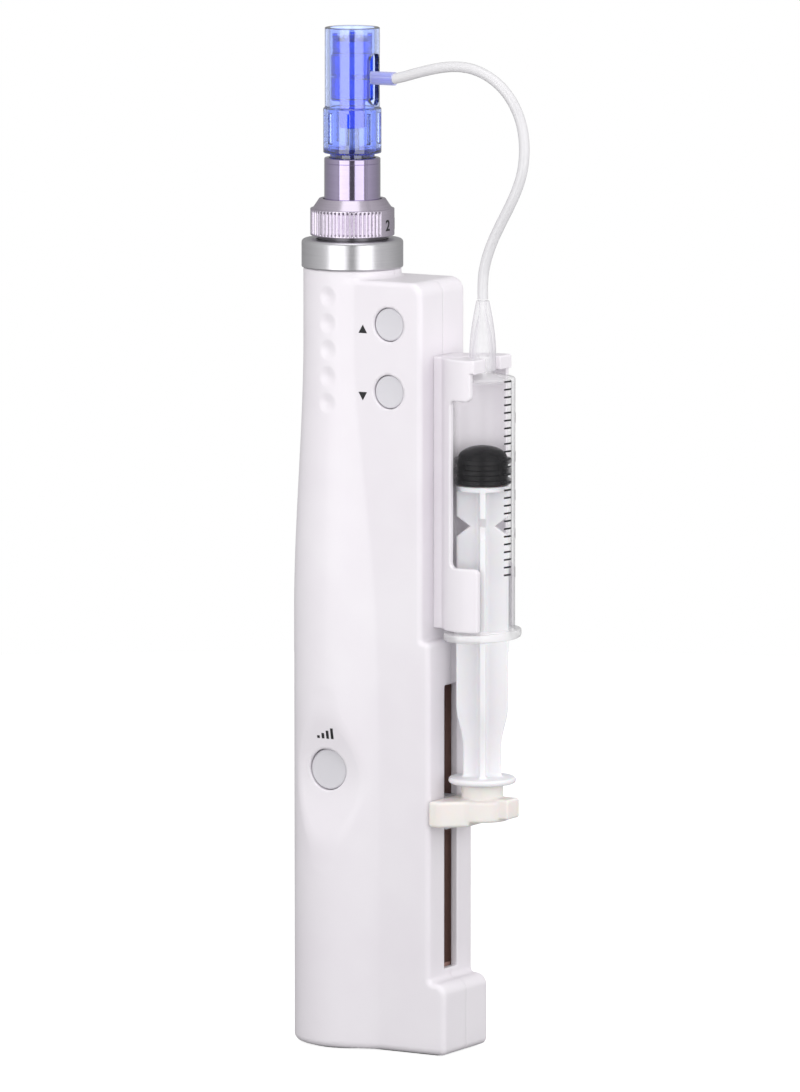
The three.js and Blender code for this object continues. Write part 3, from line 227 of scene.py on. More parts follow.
def contour(field, lowest, highest, cell):
    """Quads of a field's surface, with one vertex in each grid cell that the surface crosses."""
    base = np.array(lowest, float) - MARGIN_CELLS * cell
    counts = np.ceil((np.array(highest, float) + MARGIN_CELLS * cell - base) / cell).astype(int) + 1
    axes = [base[i] + cell * np.arange(counts[i]) for i in range(3)]
    values = np.broadcast_to(field(*np.meshgrid(*axes, indexing="ij", sparse=True)), counts)
    points = []
    cells = []
    for axis in range(3):
        at, leaving, found = crossings(field, values, axes, axis)
        around = np.zeros((4, 3), int)
        around[:, (axis + 1) % 3] = [-1, 0, 0, -1]
        around[:, (axis + 2) % 3] = [-1, -1, 0, 0]
        near = at[:, None, :] + around
        near = np.where(leaving[:, None, None], near, near[:, ::-1])
        cells.append(np.ravel_multi_index(tuple(near.reshape(-1, 3).T), counts).reshape(-1, 4))
        points.append(found)
    points = np.concatenate(points)
    normals = gradient(field, points)
    ids, quads = np.unique(np.concatenate(cells).ravel(), return_inverse=True)
    quads = quads.reshape(-1, 4)
    amount = len(ids)

    def gathered(weights):
        return np.bincount(quads.ravel(), weights=np.repeat(weights, 4), minlength=amount)

    count = gathered(np.ones(len(points)))
    mean = np.stack([gathered(points[:, i]) for i in range(3)], axis=1) / count[:, None]
    reach = (normals * points).sum(axis=1)
    left = np.empty((amount, 3, 3))
    for i in range(3):
        for j in range(3):
            left[:, i, j] = gathered(normals[:, i] * normals[:, j])
    right = np.stack([gathered(normals[:, i] * reach) for i in range(3)], axis=1)
    right -= np.einsum("nij,nj->ni", left, mean)
    left += CELL_PULL * count[:, None, None] * np.eye(3)
    corner = base + cell * np.stack(np.unravel_index(ids, counts), axis=1)
    placed = mean + np.linalg.solve(left, right[:, :, None])[:, :, 0]
    return np.clip(placed, corner, corner + cell), quads


def mesh_object(name, points, faces, normals=None):
    mesh = bpy.data.meshes.new(name)
    mesh.from_pydata(points, [], faces)
    mesh.polygons.foreach_set("use_smooth", np.ones(len(mesh.polygons), bool))
    if normals is not None:
        mesh.normals_split_custom_set(normals.tolist())
    made = bpy.data.objects.new(name, mesh)
    bpy.context.scene.collection.objects.link(made)
    return made


def solid(name, field, lowest, highest, cell):
    """A mesh of a field's surface, shaded by the field's own slope."""
    size = cell * 1
    points, quads = contour(field, lowest, highest, size)
    corners = points[quads]
    centres = corners.mean(axis=1, keepdims=True)
    samples = corners + (centres - corners) * NORMAL_SHARE
    return mesh_object(name, points, quads, gradient(field, samples.reshape(-1, 3)))


def field_piece(name, field, node, cell):
    return solid(name, field, *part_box(node), cell)


# Turned pieces and tubes

ARC_STEPS = 6
TURN_STEPS = 96
SMALL_TURN_STEPS = 48
SMOOTH = -1
ON_AXIS = 1e-9
STEEP_SHARE = 0.9


def unit(vector):
    return vector / max(np.linalg.norm(vector), TINY)


def outline(corners):
    """Points of a closed profile with rounded corners, and the outward normals before and after each."""
    flat = np.array([corner[:2] for corner in corners], float)
    kinds = [corner[2] if len(corner) > 2 else 0 for corner in corners]
    ahead = np.roll(flat, -1, axis=0)
    if np.sum(flat[:, 0] * ahead[:, 1] - ahead[:, 0] * flat[:, 1]) < 0:
        flat = flat[::-1]
        kinds = kinds[::-1]
        ahead = np.roll(flat, -1, axis=0)
    edges = ahead - flat
    outward = np.array([unit(np.array([edge[1], -edge[0]])) for edge in edges])
    points = []
    before = []
    after = []
    for i, (corner, kind) in enumerate(zip(flat, kinds)):
        incoming = outward[i - 1]
        outgoing = outward[i]
        if kind <= 0:
            shared = unit(incoming + outgoing)
            points.append(corner)
            before.append(shared if kind == SMOOTH else incoming)
            after.append(shared if kind == SMOOTH else outgoing)
            continue
        back = unit(flat[i - 1] - corner)
        forth = unit(ahead[i] - corner)
        half = math.acos(np.clip(back @ forth, -1, 1)) / 2
        centre = corner + unit(back + forth) * kind / math.sin(half)
        start = corner + back * kind / math.tan(half) - centre
        end = corner + forth * kind / math.tan(half) - centre
        first = math.atan2(start[1], start[0])
        sweep = (math.atan2(end[1], end[0]) - first + math.pi) % (2 * math.pi) - math.pi
        side = 1 if start @ incoming > 0 else -1
        for step in range(ARC_STEPS + 1):
            angle = first + sweep * step / ARC_STEPS
            spoke = np.array([math.cos(angle), math.sin(angle)])
            points.append(centre + kind * spoke)
            before.append(side * spoke)
            after.append(side * spoke)
    return np.array(points), np.array(before), np.array(after)


def lathe(name, corners, steps=TURN_STEPS, centre=(0, 0), warp=None):
    """Profile of (radius, height, rounding) corners turned about an axis along Z.

    warp(radius, height, angle) gives the radius where the piece isn't quite round.
    """
    profile, before, after = outline(corners)
    count = len(profile)
    turns = 2 * np.pi * np.arange(steps) / steps

    def place(radius, height, angle):
        if warp:
            radius = warp(radius, height, angle)
        x = centre[0] + radius * np.cos(angle)
        y = centre[1] + radius * np.sin(angle)
        return np.stack([x, y, height], axis=-1)

    on_axis = profile[:, 0] < ON_AXIS
    index = np.empty((steps, count), int)
    points = []
    for j in range(count):
        start = len(points)
        ring = 1 if on_axis[j] else steps
        spots = place(np.full(ring, profile[j, 0]), np.full(ring, profile[j, 1]), turns[:ring])
        points.extend(spots.tolist())
        index[:, j] = start if on_axis[j] else start + np.arange(steps)
    faces = []
    normals = []
    for j in range(count):
        k = (j + 1) % count
        if on_axis[j] and on_axis[k]:
            continue
        this = np.arange(steps)
        following = (this + 1) % steps
        use = [
            (j, this, after[j]), (j, following, after[j]),
            (k, following, before[k]), (k, this, before[k]),
        ]
        if on_axis[j]:
            use.pop(1)
        if on_axis[k]:
            use.pop(2)
        faces.extend(np.stack([index[turn, at] for at, turn, _ in use], axis=1).tolist())
        normals.append(np.stack([
            turned_normal(place, profile[at], flat, turns[turn]) for at, turn, flat in use
        ], axis=1).reshape(-1, 3))
    return mesh_object(name, points, faces, np.concatenate(normals))


def turned_normal(place, spot, flat, angle):
    """Normal of the turned surface at a profile point whose normal in the profile is flat."""
    radius = np.full(angle.shape, max(spot[0], GRADIENT_STEP))
    height = np.full(angle.shape, spot[1])
    here = place(radius, height, angle)
    along = place(radius - flat[1] * GRADIENT_STEP, height + flat[0] * GRADIENT_STEP, angle) - here
    turn = GRADIENT_STEP / max(spot[0], MM)
    around = place(radius, height, angle + turn) - place(radius, height, angle - turn)
    normal = np.cross(around, along)
    return normal / np.linalg.norm(normal, axis=1, keepdims=True)


def smooth_line(knots, steps):
    """Points of a Catmull-Rom curve through the knots, each stretch in that many steps."""
    knots = np.array(knots, float)
    ends = [2 * knots[0] - knots[1], 2 * knots[-1] - knots[-2]]
    padded = np.vstack([ends[0], knots, ends[1]])
    line = []
    for i in range(1, len(padded) - 2):
        a, b, c, d = padded[i - 1:i + 3]
        for t in np.arange(steps) / steps:
            line.append(
                ((2 * t**3 - 3 * t**2 + 1) * b + (3 * t**2 - 2 * t**3) * c)
                + ((t**3 - 2 * t**2 + t) * (c - a) + (t**3 - t**2) * (d - b)) / 2
            )
    line.append(padded[-2])
    return np.array(line)


def tube_along(name, line, radius, sides, bore=0.0):
    """A round tube along a line of points, hollow where it has a bore."""
    slopes = np.gradient(line, axis=0)
    slopes /= np.linalg.norm(slopes, axis=1, keepdims=True)
    side = unit(np.cross(slopes[0], [0, 1, 0] if abs(slopes[0][1]) < STEEP_SHARE else [1, 0, 0]))
    frames = []
    for slope in slopes:
        side = unit(side - slope * (side @ slope))
        frames.append((side, np.cross(slope, side)))
    turns = 2 * np.pi * np.arange(sides) / sides
    spokes = np.array([[math.cos(t) * a + math.sin(t) * b for t in turns] for a, b in frames])
    walls = [(radius, 1)] + ([(bore, -1)] if bore else [])
    points = np.concatenate([(line[:, None, :] + size * spokes).reshape(-1, 3) for size, _ in walls])
    faces = []
    normals = []
    count = len(line)
    for layer, (_, way) in enumerate(walls):
        base = layer * count * sides
        for i in range(count - 1):
            for j in range(sides):
                k = (j + 1) % sides
                face = [(i, j), (i, k), (i + 1, k), (i + 1, j)][::way]
                faces.append([base + a * sides + b for a, b in face])
                normals.extend(way * spokes[a, b] for a, b in face)
    for i, way in ((0, -1), (count - 1, 1)):
        rim = [i * sides + j for j in range(sides)]
        if not bore:
            faces.append(rim[::way])
            normals.extend([way * slopes[i]] * sides)
            continue
        shift = count * sides
        for j in range(sides):
            k = (j + 1) % sides
            faces.append([rim[j], rim[k], rim[k] + shift, rim[j] + shift][::way])
            normals.extend([way * slopes[i]] * 4)
    return mesh_object(name, points, faces, np.array(normals))


# Sizes of the housing, from the frame where it has them

WALL = 1.6 * MM
FOOT = low("front_shell").z
GRIP_TOP = high("front_shell").z
GRIP_RADIUS = -low("front_shell").y
GRIP_TOP_RADIUS = 10.55 * MM
TAPER_BOTTOM = 94 * MM
TAPER_TOP = 154 * MM
BASE_REACH = high("front_shell").x
RAIL_REACH = high("slide_carriage").x
BOX_REACH = low("syringe_cradle").x - SEAT
BOX_TOP = GRIP_TOP - 1.7 * MM
RAIL_TOP = GRIP_TOP - 78.9 * MM
BASE_TOP = 16 * MM
HALF_DEPTH = 9.45 * MM
FOOT_ROUNDING = 1.5 * MM
TOP_ROUNDING = 0.35 * MM
EDGE = 1.2 * MM
BOX_CORNER = 3 * MM
RAIL_CORNER = 1.3 * MM
BASE_CORNER = 2.5 * MM
RAIL_FILLET = 0.6 * MM
BASE_FILLET = 1.2 * MM
JOIN_FOOT = 3.2 * MM
JOIN_TOP = 0.8 * MM
JOIN_LOW = 60 * MM
JOIN_HIGH = 150 * MM
CAP_WALL = 3 * MM
FLOOR_TOP = 2.9 * MM
PARTING_GAP = 0.02 * MM
PARTING_ROUNDING = 0.06 * MM
CUT_EDGE = 0.25 * MM

DIMPLES = 5
DIMPLE_PITCH = 5.7 * MM
DIMPLE_DROP = 5.5 * MM
DIMPLE_BALL = 3.1 * MM
DIMPLE_DEPTH = 0.48 * MM
DIMPLE_EDGE = 0.45 * MM

SPEED = middle("speed_button")
FACET_HEIGHT = SPEED.z - 2 * MM
FACET_HALF_LENGTH = 17.1 * MM
FACET_DEPTH = 2.25 * MM
FACET_EDGE = 0.5 * MM

POST_RADIUS = 3.1 * MM
POST_HEIGHTS = [middle(f"shell_screw_{name}").z for name in ("lower", "middle", "upper")]
POST_PLACES = [(0, POST_HEIGHTS[0]), (0, POST_HEIGHTS[1]), (middle("shell_screw_upper").x, POST_HEIGHTS[2])]
SCREW_BORE = 1.3 * MM
HEAD_BORE = 2.2 * MM
HEAD_SEAT = 5 * MM
BORE_START = -5.3 * MM

NECK_RADIUS = 7.5 * MM
NECK_FLANGE_TOP = high("neck_tube").z - 14.85 * MM
SLOT_HALF_WIDTH = 2.7 * MM
SLOT_BOTTOM = 18.3 * MM
SLOT_TOP = RAIL_TOP - 10 * MM
SLOT_CORNER = 0.4 * MM
PAD_INSET = 2.4 * MM
PAD_TOP = high("foot_pad").z + SEAT
SOCKET = middle("charging_socket")
SOCKET_HALF_LENGTH = 4.45 * MM
SOCKET_HALF_WIDTH = 1.6 * MM
BUTTON_BOXES = [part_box(f"{name}_button") for name in ("up", "down", "speed")]
BUTTON_RADII = [3.55 * MM, 3.55 * MM, 4.4 * MM]
BUTTON_GAP = 0.15 * MM
CRADLE_SCREWS = [middle(f"cradle_screw_{name}").z for name in ("lower", "upper")]


def grip_radius(z):
    return GRIP_RADIUS + (GRIP_TOP_RADIUS - GRIP_RADIUS) * smooth_share(z, TAPER_BOTTOM, TAPER_TOP)


def footprint(x, y, inset):
    """The foot's outline: the grip's circle and the box's rectangle."""
    rectangle = both(x - BASE_REACH + inset, np.abs(y) - HALF_DEPTH + inset, EDGE)
    return either(np.hypot(x, y) - GRIP_RADIUS + inset, both(rectangle, -x))


def box_side(x, z):
    """The box's outline seen from the front: the foot, the rail and the upper box."""
    upper = both(x - BOX_REACH, z - BOX_TOP, BOX_CORNER)
    rail = both(x - RAIL_REACH, z - RAIL_TOP, RAIL_CORNER)
    base = both(x - BASE_REACH, z - BASE_TOP, BASE_CORNER)
    return either(either(upper, rail, RAIL_FILLET), base, BASE_FILLET)


def facet_dish(z):
    """How deep the speed button's facet is cut into the grip."""
    along = 1 - ((z - FACET_HEIGHT) / FACET_HALF_LENGTH) ** 2
    return FACET_DEPTH * along * np.abs(along)


def housing_form(x, y, z):
    radius = grip_radius(z)
    box = both(both(box_side(x, z), np.abs(y) - HALF_DEPTH, EDGE), -x)
    join = JOIN_FOOT + (JOIN_TOP - JOIN_FOOT) * smooth_share(z, JOIN_LOW, JOIN_HIGH)
    form = either(both(np.hypot(x, y) - radius, z - GRIP_TOP, TOP_ROUNDING), box, join)
    form = both(form, FOOT - z, FOOT_ROUNDING)
    return both(form, facet_dish(z) - radius - y, FACET_EDGE)


def dimples(x, y, z):
    cut = np.inf
    for i in range(DIMPLES):
        height = GRIP_TOP - DIMPLE_DROP - i * DIMPLE_PITCH
        ahead = y + grip_radius(height) + DIMPLE_BALL - DIMPLE_DEPTH
        cut = np.minimum(cut, np.sqrt(x**2 + ahead**2 + (z - height) ** 2) - DIMPLE_BALL)
    return cut


def stadium(x, y, half_length, half_width):
    """The charging socket's outline."""
    return np.hypot(np.maximum(np.abs(x - SOCKET.x) - half_length + half_width, 0), y) - half_width


RIB_HEIGHT = 1.8 * MM
RIB_REACH = 7.7 * MM
MOTOR_RIB_RISES = (6.2 * MM, 24.2 * MM)
NECK_RIB_DROP = 4.3 * MM
MOTOR_RADIUS = high("needle_motor").x
RIBS = [(low("needle_motor").z + rise, MOTOR_RADIUS + FIT) for rise in MOTOR_RIB_RISES]
RIBS.append((NECK_FLANGE_TOP - NECK_RIB_DROP, NECK_RADIUS + FIT))
SHELL_CELL = 0.42 * MM


def housing_inside(form, x, y, z):
    """The room within the walls, less the screw posts and the ribs that hold the motor and neck."""
    room = both(both(form + WALL, z - GRIP_TOP + CAP_WALL), FLOOR_TOP - z)
    for px, pz in POST_PLACES:
        room = without(room, np.hypot(x - px, z - pz) - POST_RADIUS, FIT)
    for height, start in RIBS:
        rib = both(slab(z, height, height + RIB_HEIGHT), start - np.hypot(x, y))
        room = without(room, both(rib, x - RIB_REACH))
    return room


def housing(x, y, z):
    form = housing_form(x, y, z)
    shell = without(without(form, dimples(x, y, z), DIMPLE_EDGE), housing_inside(form, x, y, z))
    round_top = both(np.hypot(x, y) - NECK_RADIUS - FIT, NECK_FLANGE_TOP - z)
    slot = both(slab(z, SLOT_BOTTOM, SLOT_TOP), np.abs(y) - SLOT_HALF_WIDTH, SLOT_CORNER)
    slot = both(slot, RAIL_REACH - WALL - OVERRUN - x)
    pad = both(footprint(x, y, PAD_INSET - FIT), z - PAD_TOP)
    socket = stadium(x, y, SOCKET_HALF_LENGTH + FIT, SOCKET_HALF_WIDTH + FIT)
    socket = both(socket, z - FLOOR_TOP - OVERRUN)
    shell = without(shell, round_top, CUT_EDGE)
    shell = without(shell, slot, CUT_EDGE)
    shell = without(without(shell, pad), socket)
    for (start, end), radius in zip(BUTTON_BOXES, BUTTON_RADII):
        bore = np.hypot(x - (start.x + end.x) / 2, z - (start.z + end.z) / 2) - radius - BUTTON_GAP
        shell = without(shell, both(bore, y - end.y - OVERRUN / 2), CUT_EDGE)
    for height in CRADLE_SCREWS:
        bore = np.hypot(y, z - height) - SCREW_BORE
        shell = without(shell, both(bore, BOX_REACH - WALL - OVERRUN - x))
    for px, pz in POST_PLACES:
        across = np.hypot(x - px, z - pz)
        shell = without(shell, both(across - SCREW_BORE, BORE_START - y))
        shell = without(shell, both(across - HEAD_BORE, HEAD_SEAT - y), CUT_EDGE)
    return shell


def housing_half(name, way):
    """One half shell, on the side of the parting line that way points to."""

    def half(x, y, z):
        return both(housing(x, y, z), PARTING_GAP / 2 - way * y, PARTING_ROUNDING)

    edges = (-GRIP_RADIUS, 0) if way < 0 else (0, GRIP_RADIUS)
    return solid(name, half, (-GRIP_RADIUS, edges[0], FOOT), (BASE_REACH, edges[1], GRIP_TOP), SHELL_CELL)


# Screws and buttons

SHANK = 1 * MM
HEAD_RADIUS = 1.9 * MM
HEAD_HEIGHT = 1.3 * MM
HEAD_EDGE = 0.45 * MM
CROSS_HALF_WIDTH = 0.24 * MM
CROSS_REACH = 1.15 * MM
CROSS_DEPTH = 0.75 * MM
THREAD_PITCH = 0.55 * MM
THREAD_DEPTH = 0.16 * MM
SMALL_CELL = 0.12 * MM


def thread(along, angle, pitch, starts=1):
    """A saw of 0 to 1 that winds round a shank."""
    turn = (along / pitch - starts * angle / (2 * np.pi)) % 1
    return 1 - np.abs(2 * turn - 1)


def cross_head_screw(name, node, axis):
    """A screw along X or Y, its tip at the node's right end or its front end."""
    start, end, centre = span(node)
    top = end[axis] - start[axis]
    length = top - HEAD_HEIGHT

    def form(*place):
        along = place[1] - start.y if axis else end.x - place[0]
        a = place[1 - axis] - centre[1 - axis]
        b = place[2] - centre.z
        across = np.hypot(a, b)
        cut = THREAD_DEPTH * thread(along, np.arctan2(b, a), THREAD_PITCH)
        shank = both(across - SHANK + cut, slab(along, 0, length + FIT))
        head = both(both(across - HEAD_RADIUS, along - top, HEAD_EDGE), length - along)
        arms = np.maximum(np.minimum(np.abs(a), np.abs(b)) - CROSS_HALF_WIDTH, across - CROSS_REACH)
        return without(either(shank, head), np.maximum(arms, top - CROSS_DEPTH - along))

    return solid(name, form, start, end, SMALL_CELL)


BUTTON_EDGE = 0.45 * MM
BUTTON_DISH = 0.12 * MM
BUTTON_SKIRT = 1.3 * MM
FLANGE_WIDTH = 0.85 * MM
BUTTON_CELL = 0.14 * MM


def push_button(name, node, radius):
    """A round key with a shallow dish, held in the wall by its flange."""
    start, end, centre = span(node)

    def form(x, y, z):
        across = np.hypot(x - centre.x, z - centre.z)
        face = start.y + BUTTON_DISH * np.maximum(1 - (across / radius) ** 2, 0)
        cap = both(both(across - radius, face - y, BUTTON_EDGE), y - end.y)
        flange = both(across - radius - FLANGE_WIDTH, slab(y, start.y + BUTTON_SKIRT + FIT, end.y), SEAT)
        return either(cap, flange)

    return solid(name, form, start, end, BUTTON_CELL)


TREAD_PITCH = 3 * MM
TREAD_HALF_WIDTH = 0.4 * MM
TREAD_DEPTH = 0.3 * MM
TREAD_INSET = 4.2 * MM
PAD_CELL = 0.25 * MM


def foot_pad(x, y, z):
    start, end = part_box("foot_pad")
    pad = both(footprint(x, y, PAD_INSET), slab(z, start.z, end.z), EASED)
    pad = without(pad, stadium(x, y, SOCKET_HALF_LENGTH + FIT, SOCKET_HALF_WIDTH + FIT))
    tread = np.abs((x / TREAD_PITCH) % 1 - 0.5) * TREAD_PITCH - TREAD_HALF_WIDTH
    tread = both(both(tread, z - start.z - TREAD_DEPTH), footprint(x, y, TREAD_INSET))
    return without(pad, tread)


# Neck, collar, depth ring and sleeve

COLLAR_RADIUS = high("collar_ring").x
COLLAR_BOTTOM = low("collar_ring").z
COLLAR_TOP = high("collar_ring").z
RING_RADIUS = high("depth_ring").x
RING_BOTTOM = low("depth_ring").z
CONE_TOP = high("depth_ring").z
RING_TOP = CONE_TOP - 2.1 * MM
SLEEVE_RADIUS = high("nose_sleeve").x
SLEEVE_BOTTOM = low("nose_sleeve").z
SLEEVE_TOP = high("nose_sleeve").z
SLEEVE_WALL = 0.95 * MM
NECK_BOTTOM = low("neck_tube").z
NECK_TOP = high("neck_tube").z
NECK_BORE = 3.1 * MM
NECK_FLOOR = 3 * MM
NECK_FLANGE = 2.2 * MM
NECK_FLANGE_RADIUS = 8.5 * MM
CONE_LIP = 0.8 * MM
RING_WALL = 0.9 * MM
RIB_COUNT = 60
RIB_DEPTH = 0.32 * MM
RIB_MARGIN = 0.35 * MM
PLAIN_START = math.radians(-13)
PLAIN_END = math.radians(194)
RIB_STEPS = 12
RING_STEPS = 12
CONE_STEP = 0.5 * MM
COLLAR_LOW_EDGE = 0.35 * MM
COLLAR_EDGE = 0.75 * MM
SCORE_DROP = 1.2 * MM
SCORE_DEPTH = 0.08 * MM


def neck_tube():
    return lathe("neck", [
        (NECK_BORE, NECK_BOTTOM),
        (NECK_RADIUS, NECK_BOTTOM, CRISP),
        (NECK_RADIUS, NECK_FLANGE_TOP - NECK_FLANGE, SEAT),
        (NECK_FLANGE_RADIUS, NECK_FLANGE_TOP - NECK_FLANGE, CRISP),
        (NECK_FLANGE_RADIUS, NECK_FLANGE_TOP, CRISP),
        (NECK_RADIUS, NECK_FLANGE_TOP, SEAT),
        (NECK_RADIUS, NECK_TOP, CRISP),
        (SLEEVE_RADIUS + FIT, NECK_TOP, CRISP),
        (SLEEVE_RADIUS + FIT, NECK_BOTTOM + NECK_FLOOR, CRISP),
        (NECK_BORE, NECK_BOTTOM + NECK_FLOOR),
    ])


def collar():
    return lathe("collar", [
        (NECK_RADIUS + FIT, COLLAR_BOTTOM),
        (COLLAR_RADIUS, COLLAR_BOTTOM, COLLAR_LOW_EDGE),
        (COLLAR_RADIUS, COLLAR_TOP, COLLAR_EDGE),
        (NECK_RADIUS + FIT, COLLAR_TOP, CRISP),
    ])


def ribbed(radius, height, angle):
    """The ring's grip: ribs all round but for the plain sector that carries the numbers."""
    middle_angle = (PLAIN_START + PLAIN_END) / 2
    away = np.abs((angle - middle_angle + np.pi) % (2 * np.pi) - np.pi) - (PLAIN_END - PLAIN_START) / 2
    ribs = smooth_share(away * RING_RADIUS, 0, RIB_MARGIN)
    ends = np.minimum(height - RING_BOTTOM, RING_TOP - height)
    ends = smooth_share(ends, RIB_MARGIN / 2, RIB_MARGIN * 1.5)
    wave = (0.5 + 0.5 * np.cos(RIB_COUNT * angle)) ** 2
    return radius - np.where(radius > RING_RADIUS - RIB_DEPTH, RIB_DEPTH * ribs * ends * wave, 0)


def depth_ring():
    step = (RING_TOP - RING_BOTTOM) / RING_STEPS
    return lathe("depth_dial_ring", [
        (NECK_RADIUS + FIT, RING_BOTTOM),
        (RING_RADIUS, RING_BOTTOM, CRISP),
        *[(RING_RADIUS, RING_BOTTOM + step * i, SMOOTH) for i in range(1, RING_STEPS)],
        (RING_RADIUS, RING_TOP, CRISP),
        (RING_RADIUS - CONE_STEP, RING_TOP, SEAT),
        (SLEEVE_RADIUS + FIT + CONE_LIP, CONE_TOP, CRISP),
        (SLEEVE_RADIUS + FIT, CONE_TOP, CRISP),
        (SLEEVE_RADIUS + FIT, RING_TOP - RING_WALL),
        (NECK_RADIUS + FIT, RING_TOP - RING_WALL),
    ], RIB_COUNT * RIB_STEPS, warp=ribbed)


CARTRIDGE_RADIUS = high("cartridge_shell").x
CARTRIDGE_UPPER = 5.9 * MM
CARTRIDGE_NECK = 4.8 * MM
CARTRIDGE_WALL = 1.05 * MM
CARTRIDGE_NECK_BOTTOM = low("cartridge_shell").z
CARTRIDGE_TOP = high("cartridge_shell").z
CARTRIDGE_BOTTOM = CARTRIDGE_NECK_BOTTOM + 7.2 * MM
BAND_TOP = CARTRIDGE_BOTTOM + 1.1 * MM
FINGER_TOP = BAND_TOP + 8.6 * MM
FINGERS = 8
FINGER_HALF_GAP = 0.24 * MM
FINGER_MARGIN = 1.2 * MM


def nose_sleeve():
    socket = SLEEVE_RADIUS - SLEEVE_WALL
    floor = CARTRIDGE_NECK_BOTTOM - FIT
    score = SLEEVE_TOP - SCORE_DROP
    return lathe("sleeve", [
        (CARTRIDGE_NECK - SLEEVE_WALL, SLEEVE_BOTTOM),
        (SLEEVE_RADIUS, SLEEVE_BOTTOM, CRISP),
        (SLEEVE_RADIUS, score - SCORE_DEPTH, SEAT / 2),
        (SLEEVE_RADIUS - SCORE_DEPTH, score, SEAT / 2),
        (SLEEVE_RADIUS, score + SCORE_DEPTH, SEAT / 2),
        (SLEEVE_RADIUS, SLEEVE_TOP, EASED),
        (socket, SLEEVE_TOP, CRISP),
        (socket, floor),
        (CARTRIDGE_NECK - SLEEVE_WALL, floor),
    ], 2 * TURN_STEPS)


PORT_HALF_WIDTH = 1.85 * MM
NIPPLE_Z = 209.85 * MM
PORT_BELOW = 5.8 * MM
PORT_ABOVE = 5.2 * MM
CLEAR_CELL = 0.15 * MM
BLOCK_CELL = 0.16 * MM
RIM = 0.25 * MM


def cartridge(x, y, z):
    """A thin clear shell with a slot for the hose's port and spring fingers round its lower half."""
    across = np.hypot(x, y)
    upper = rod_field(across, z, CARTRIDGE_UPPER, FINGER_TOP - RIM, CARTRIDGE_TOP, RIM)
    lower = rod_field(across, z, CARTRIDGE_RADIUS, CARTRIDGE_BOTTOM, FINGER_TOP, RIM)
    neck = rod_field(across, z, CARTRIDGE_NECK, CARTRIDGE_NECK_BOTTOM, CARTRIDGE_BOTTOM + RIM, RIM)
    form = either(either(upper, lower, RIM), neck, RIM)
    bore = across - np.where(z > FINGER_TOP, CARTRIDGE_UPPER, CARTRIDGE_RADIUS) + CARTRIDGE_WALL
    bore = both(bore, BAND_TOP - z)
    form = without(form, bore, SEAT)
    form = without(form, across - CARTRIDGE_NECK + CARTRIDGE_WALL, SEAT)
    middle_z = NIPPLE_Z + (PORT_ABOVE - PORT_BELOW) / 2
    straight = (PORT_ABOVE + PORT_BELOW) / 2 - PORT_HALF_WIDTH
    port = np.hypot(y, np.maximum(np.abs(z - middle_z) - straight, 0)) - PORT_HALF_WIDTH
    form = without(form, both(port, -x), CRISP)
    sector = 2 * np.pi / FINGERS
    angle = np.arctan2(y, x) % sector - sector / 2
    side = across * np.sin(angle)
    reach = (FINGER_TOP - BAND_TOP) / 2 - FINGER_MARGIN
    centre = (FINGER_TOP + BAND_TOP) / 2
    gap = np.hypot(side, np.maximum(np.abs(z - centre) - reach, 0)) - FINGER_HALF_GAP
    return without(form, both(gap, CARTRIDGE_NECK - across), SEAT)


BLOCK_RADIUS = 4.25 * MM
BLOCK_WIDE_RADIUS = 4.55 * MM
BLOCK_WIDE_TOP = low("needle_plate").z - 2.9 * MM
BLOCK_TOP = low("needle_plate").z - SEAT
BLOCK_BOTTOM = BLOCK_TOP - 12.8 * MM
STEM_RADIUS = 2.75 * MM
STEM_BOTTOM = low("needle_block").z
NIPPLE_RADIUS = 1.2 * MM
NIPPLE_REACH = high("needle_block").x
DUCT_RADIUS = 0.5 * MM
NIPPLE_COLLAR = 1.55 * MM
BLOCK_EDGE = 0.35 * MM
BLOCK_GROOVES = [BLOCK_TOP - 2 * MM, BLOCK_BOTTOM + 5.2 * MM]
LUGS = 4
LUG_TURN = CAMERA_AZIMUTH
LUG_INNER = 3.3 * MM
LUG_HALF_WIDTH = 0.8 * MM
LUG_TOP = BLOCK_TOP + 1.65 * MM
RIM_TOP = BLOCK_TOP + 0.9 * MM


def needle_block(x, y, z):
    """The block that carries the needles, on its stem, with the nipple that takes the hose."""
    across = np.hypot(x, y)
    block = either(
        rod_field(across, z, BLOCK_RADIUS, BLOCK_BOTTOM, BLOCK_TOP, BLOCK_EDGE),
        rod_field(across, z, BLOCK_WIDE_RADIUS, BLOCK_BOTTOM, BLOCK_WIDE_TOP, BLOCK_EDGE),
    )
    stem = rod_field(across, z, STEM_RADIUS, STEM_BOTTOM, BLOCK_TOP - OVERRUN, BLOCK_EDGE)
    spoke = np.hypot(y, z - NIPPLE_Z)
    nipple = both(spoke - NIPPLE_RADIUS, slab(x, 0, NIPPLE_REACH), CRISP)
    collar_ring = both(spoke - NIPPLE_COLLAR, slab(x, 0, CARTRIDGE_UPPER - CARTRIDGE_WALL), CRISP)
    form = either(either(block, stem, BLOCK_EDGE), either(nipple, collar_ring, CRISP), BLOCK_EDGE)
    for height in BLOCK_GROOVES:
        groove = both(np.abs(z - height) - CRISP, BLOCK_RADIUS - FIT - across)
        form = without(form, groove, CRISP / 2)
    turned = np.arctan2(y, x) - LUG_TURN
    side = across * np.sin((turned + np.pi / LUGS) % (2 * np.pi / LUGS) - np.pi / LUGS)
    lug = both(both(np.abs(side) - LUG_HALF_WIDTH, LUG_INNER - across), across - BLOCK_RADIUS, CRISP)
    form = either(form, both(lug, slab(z, BLOCK_TOP - FIT, LUG_TOP), CRISP))
    rim = both(LUG_INNER - across, across - BLOCK_RADIUS, CRISP)
    form = either(form, both(rim, slab(z, BLOCK_TOP - FIT, RIM_TOP), CRISP))
    return without(form, both(spoke - DUCT_RADIUS, -x))


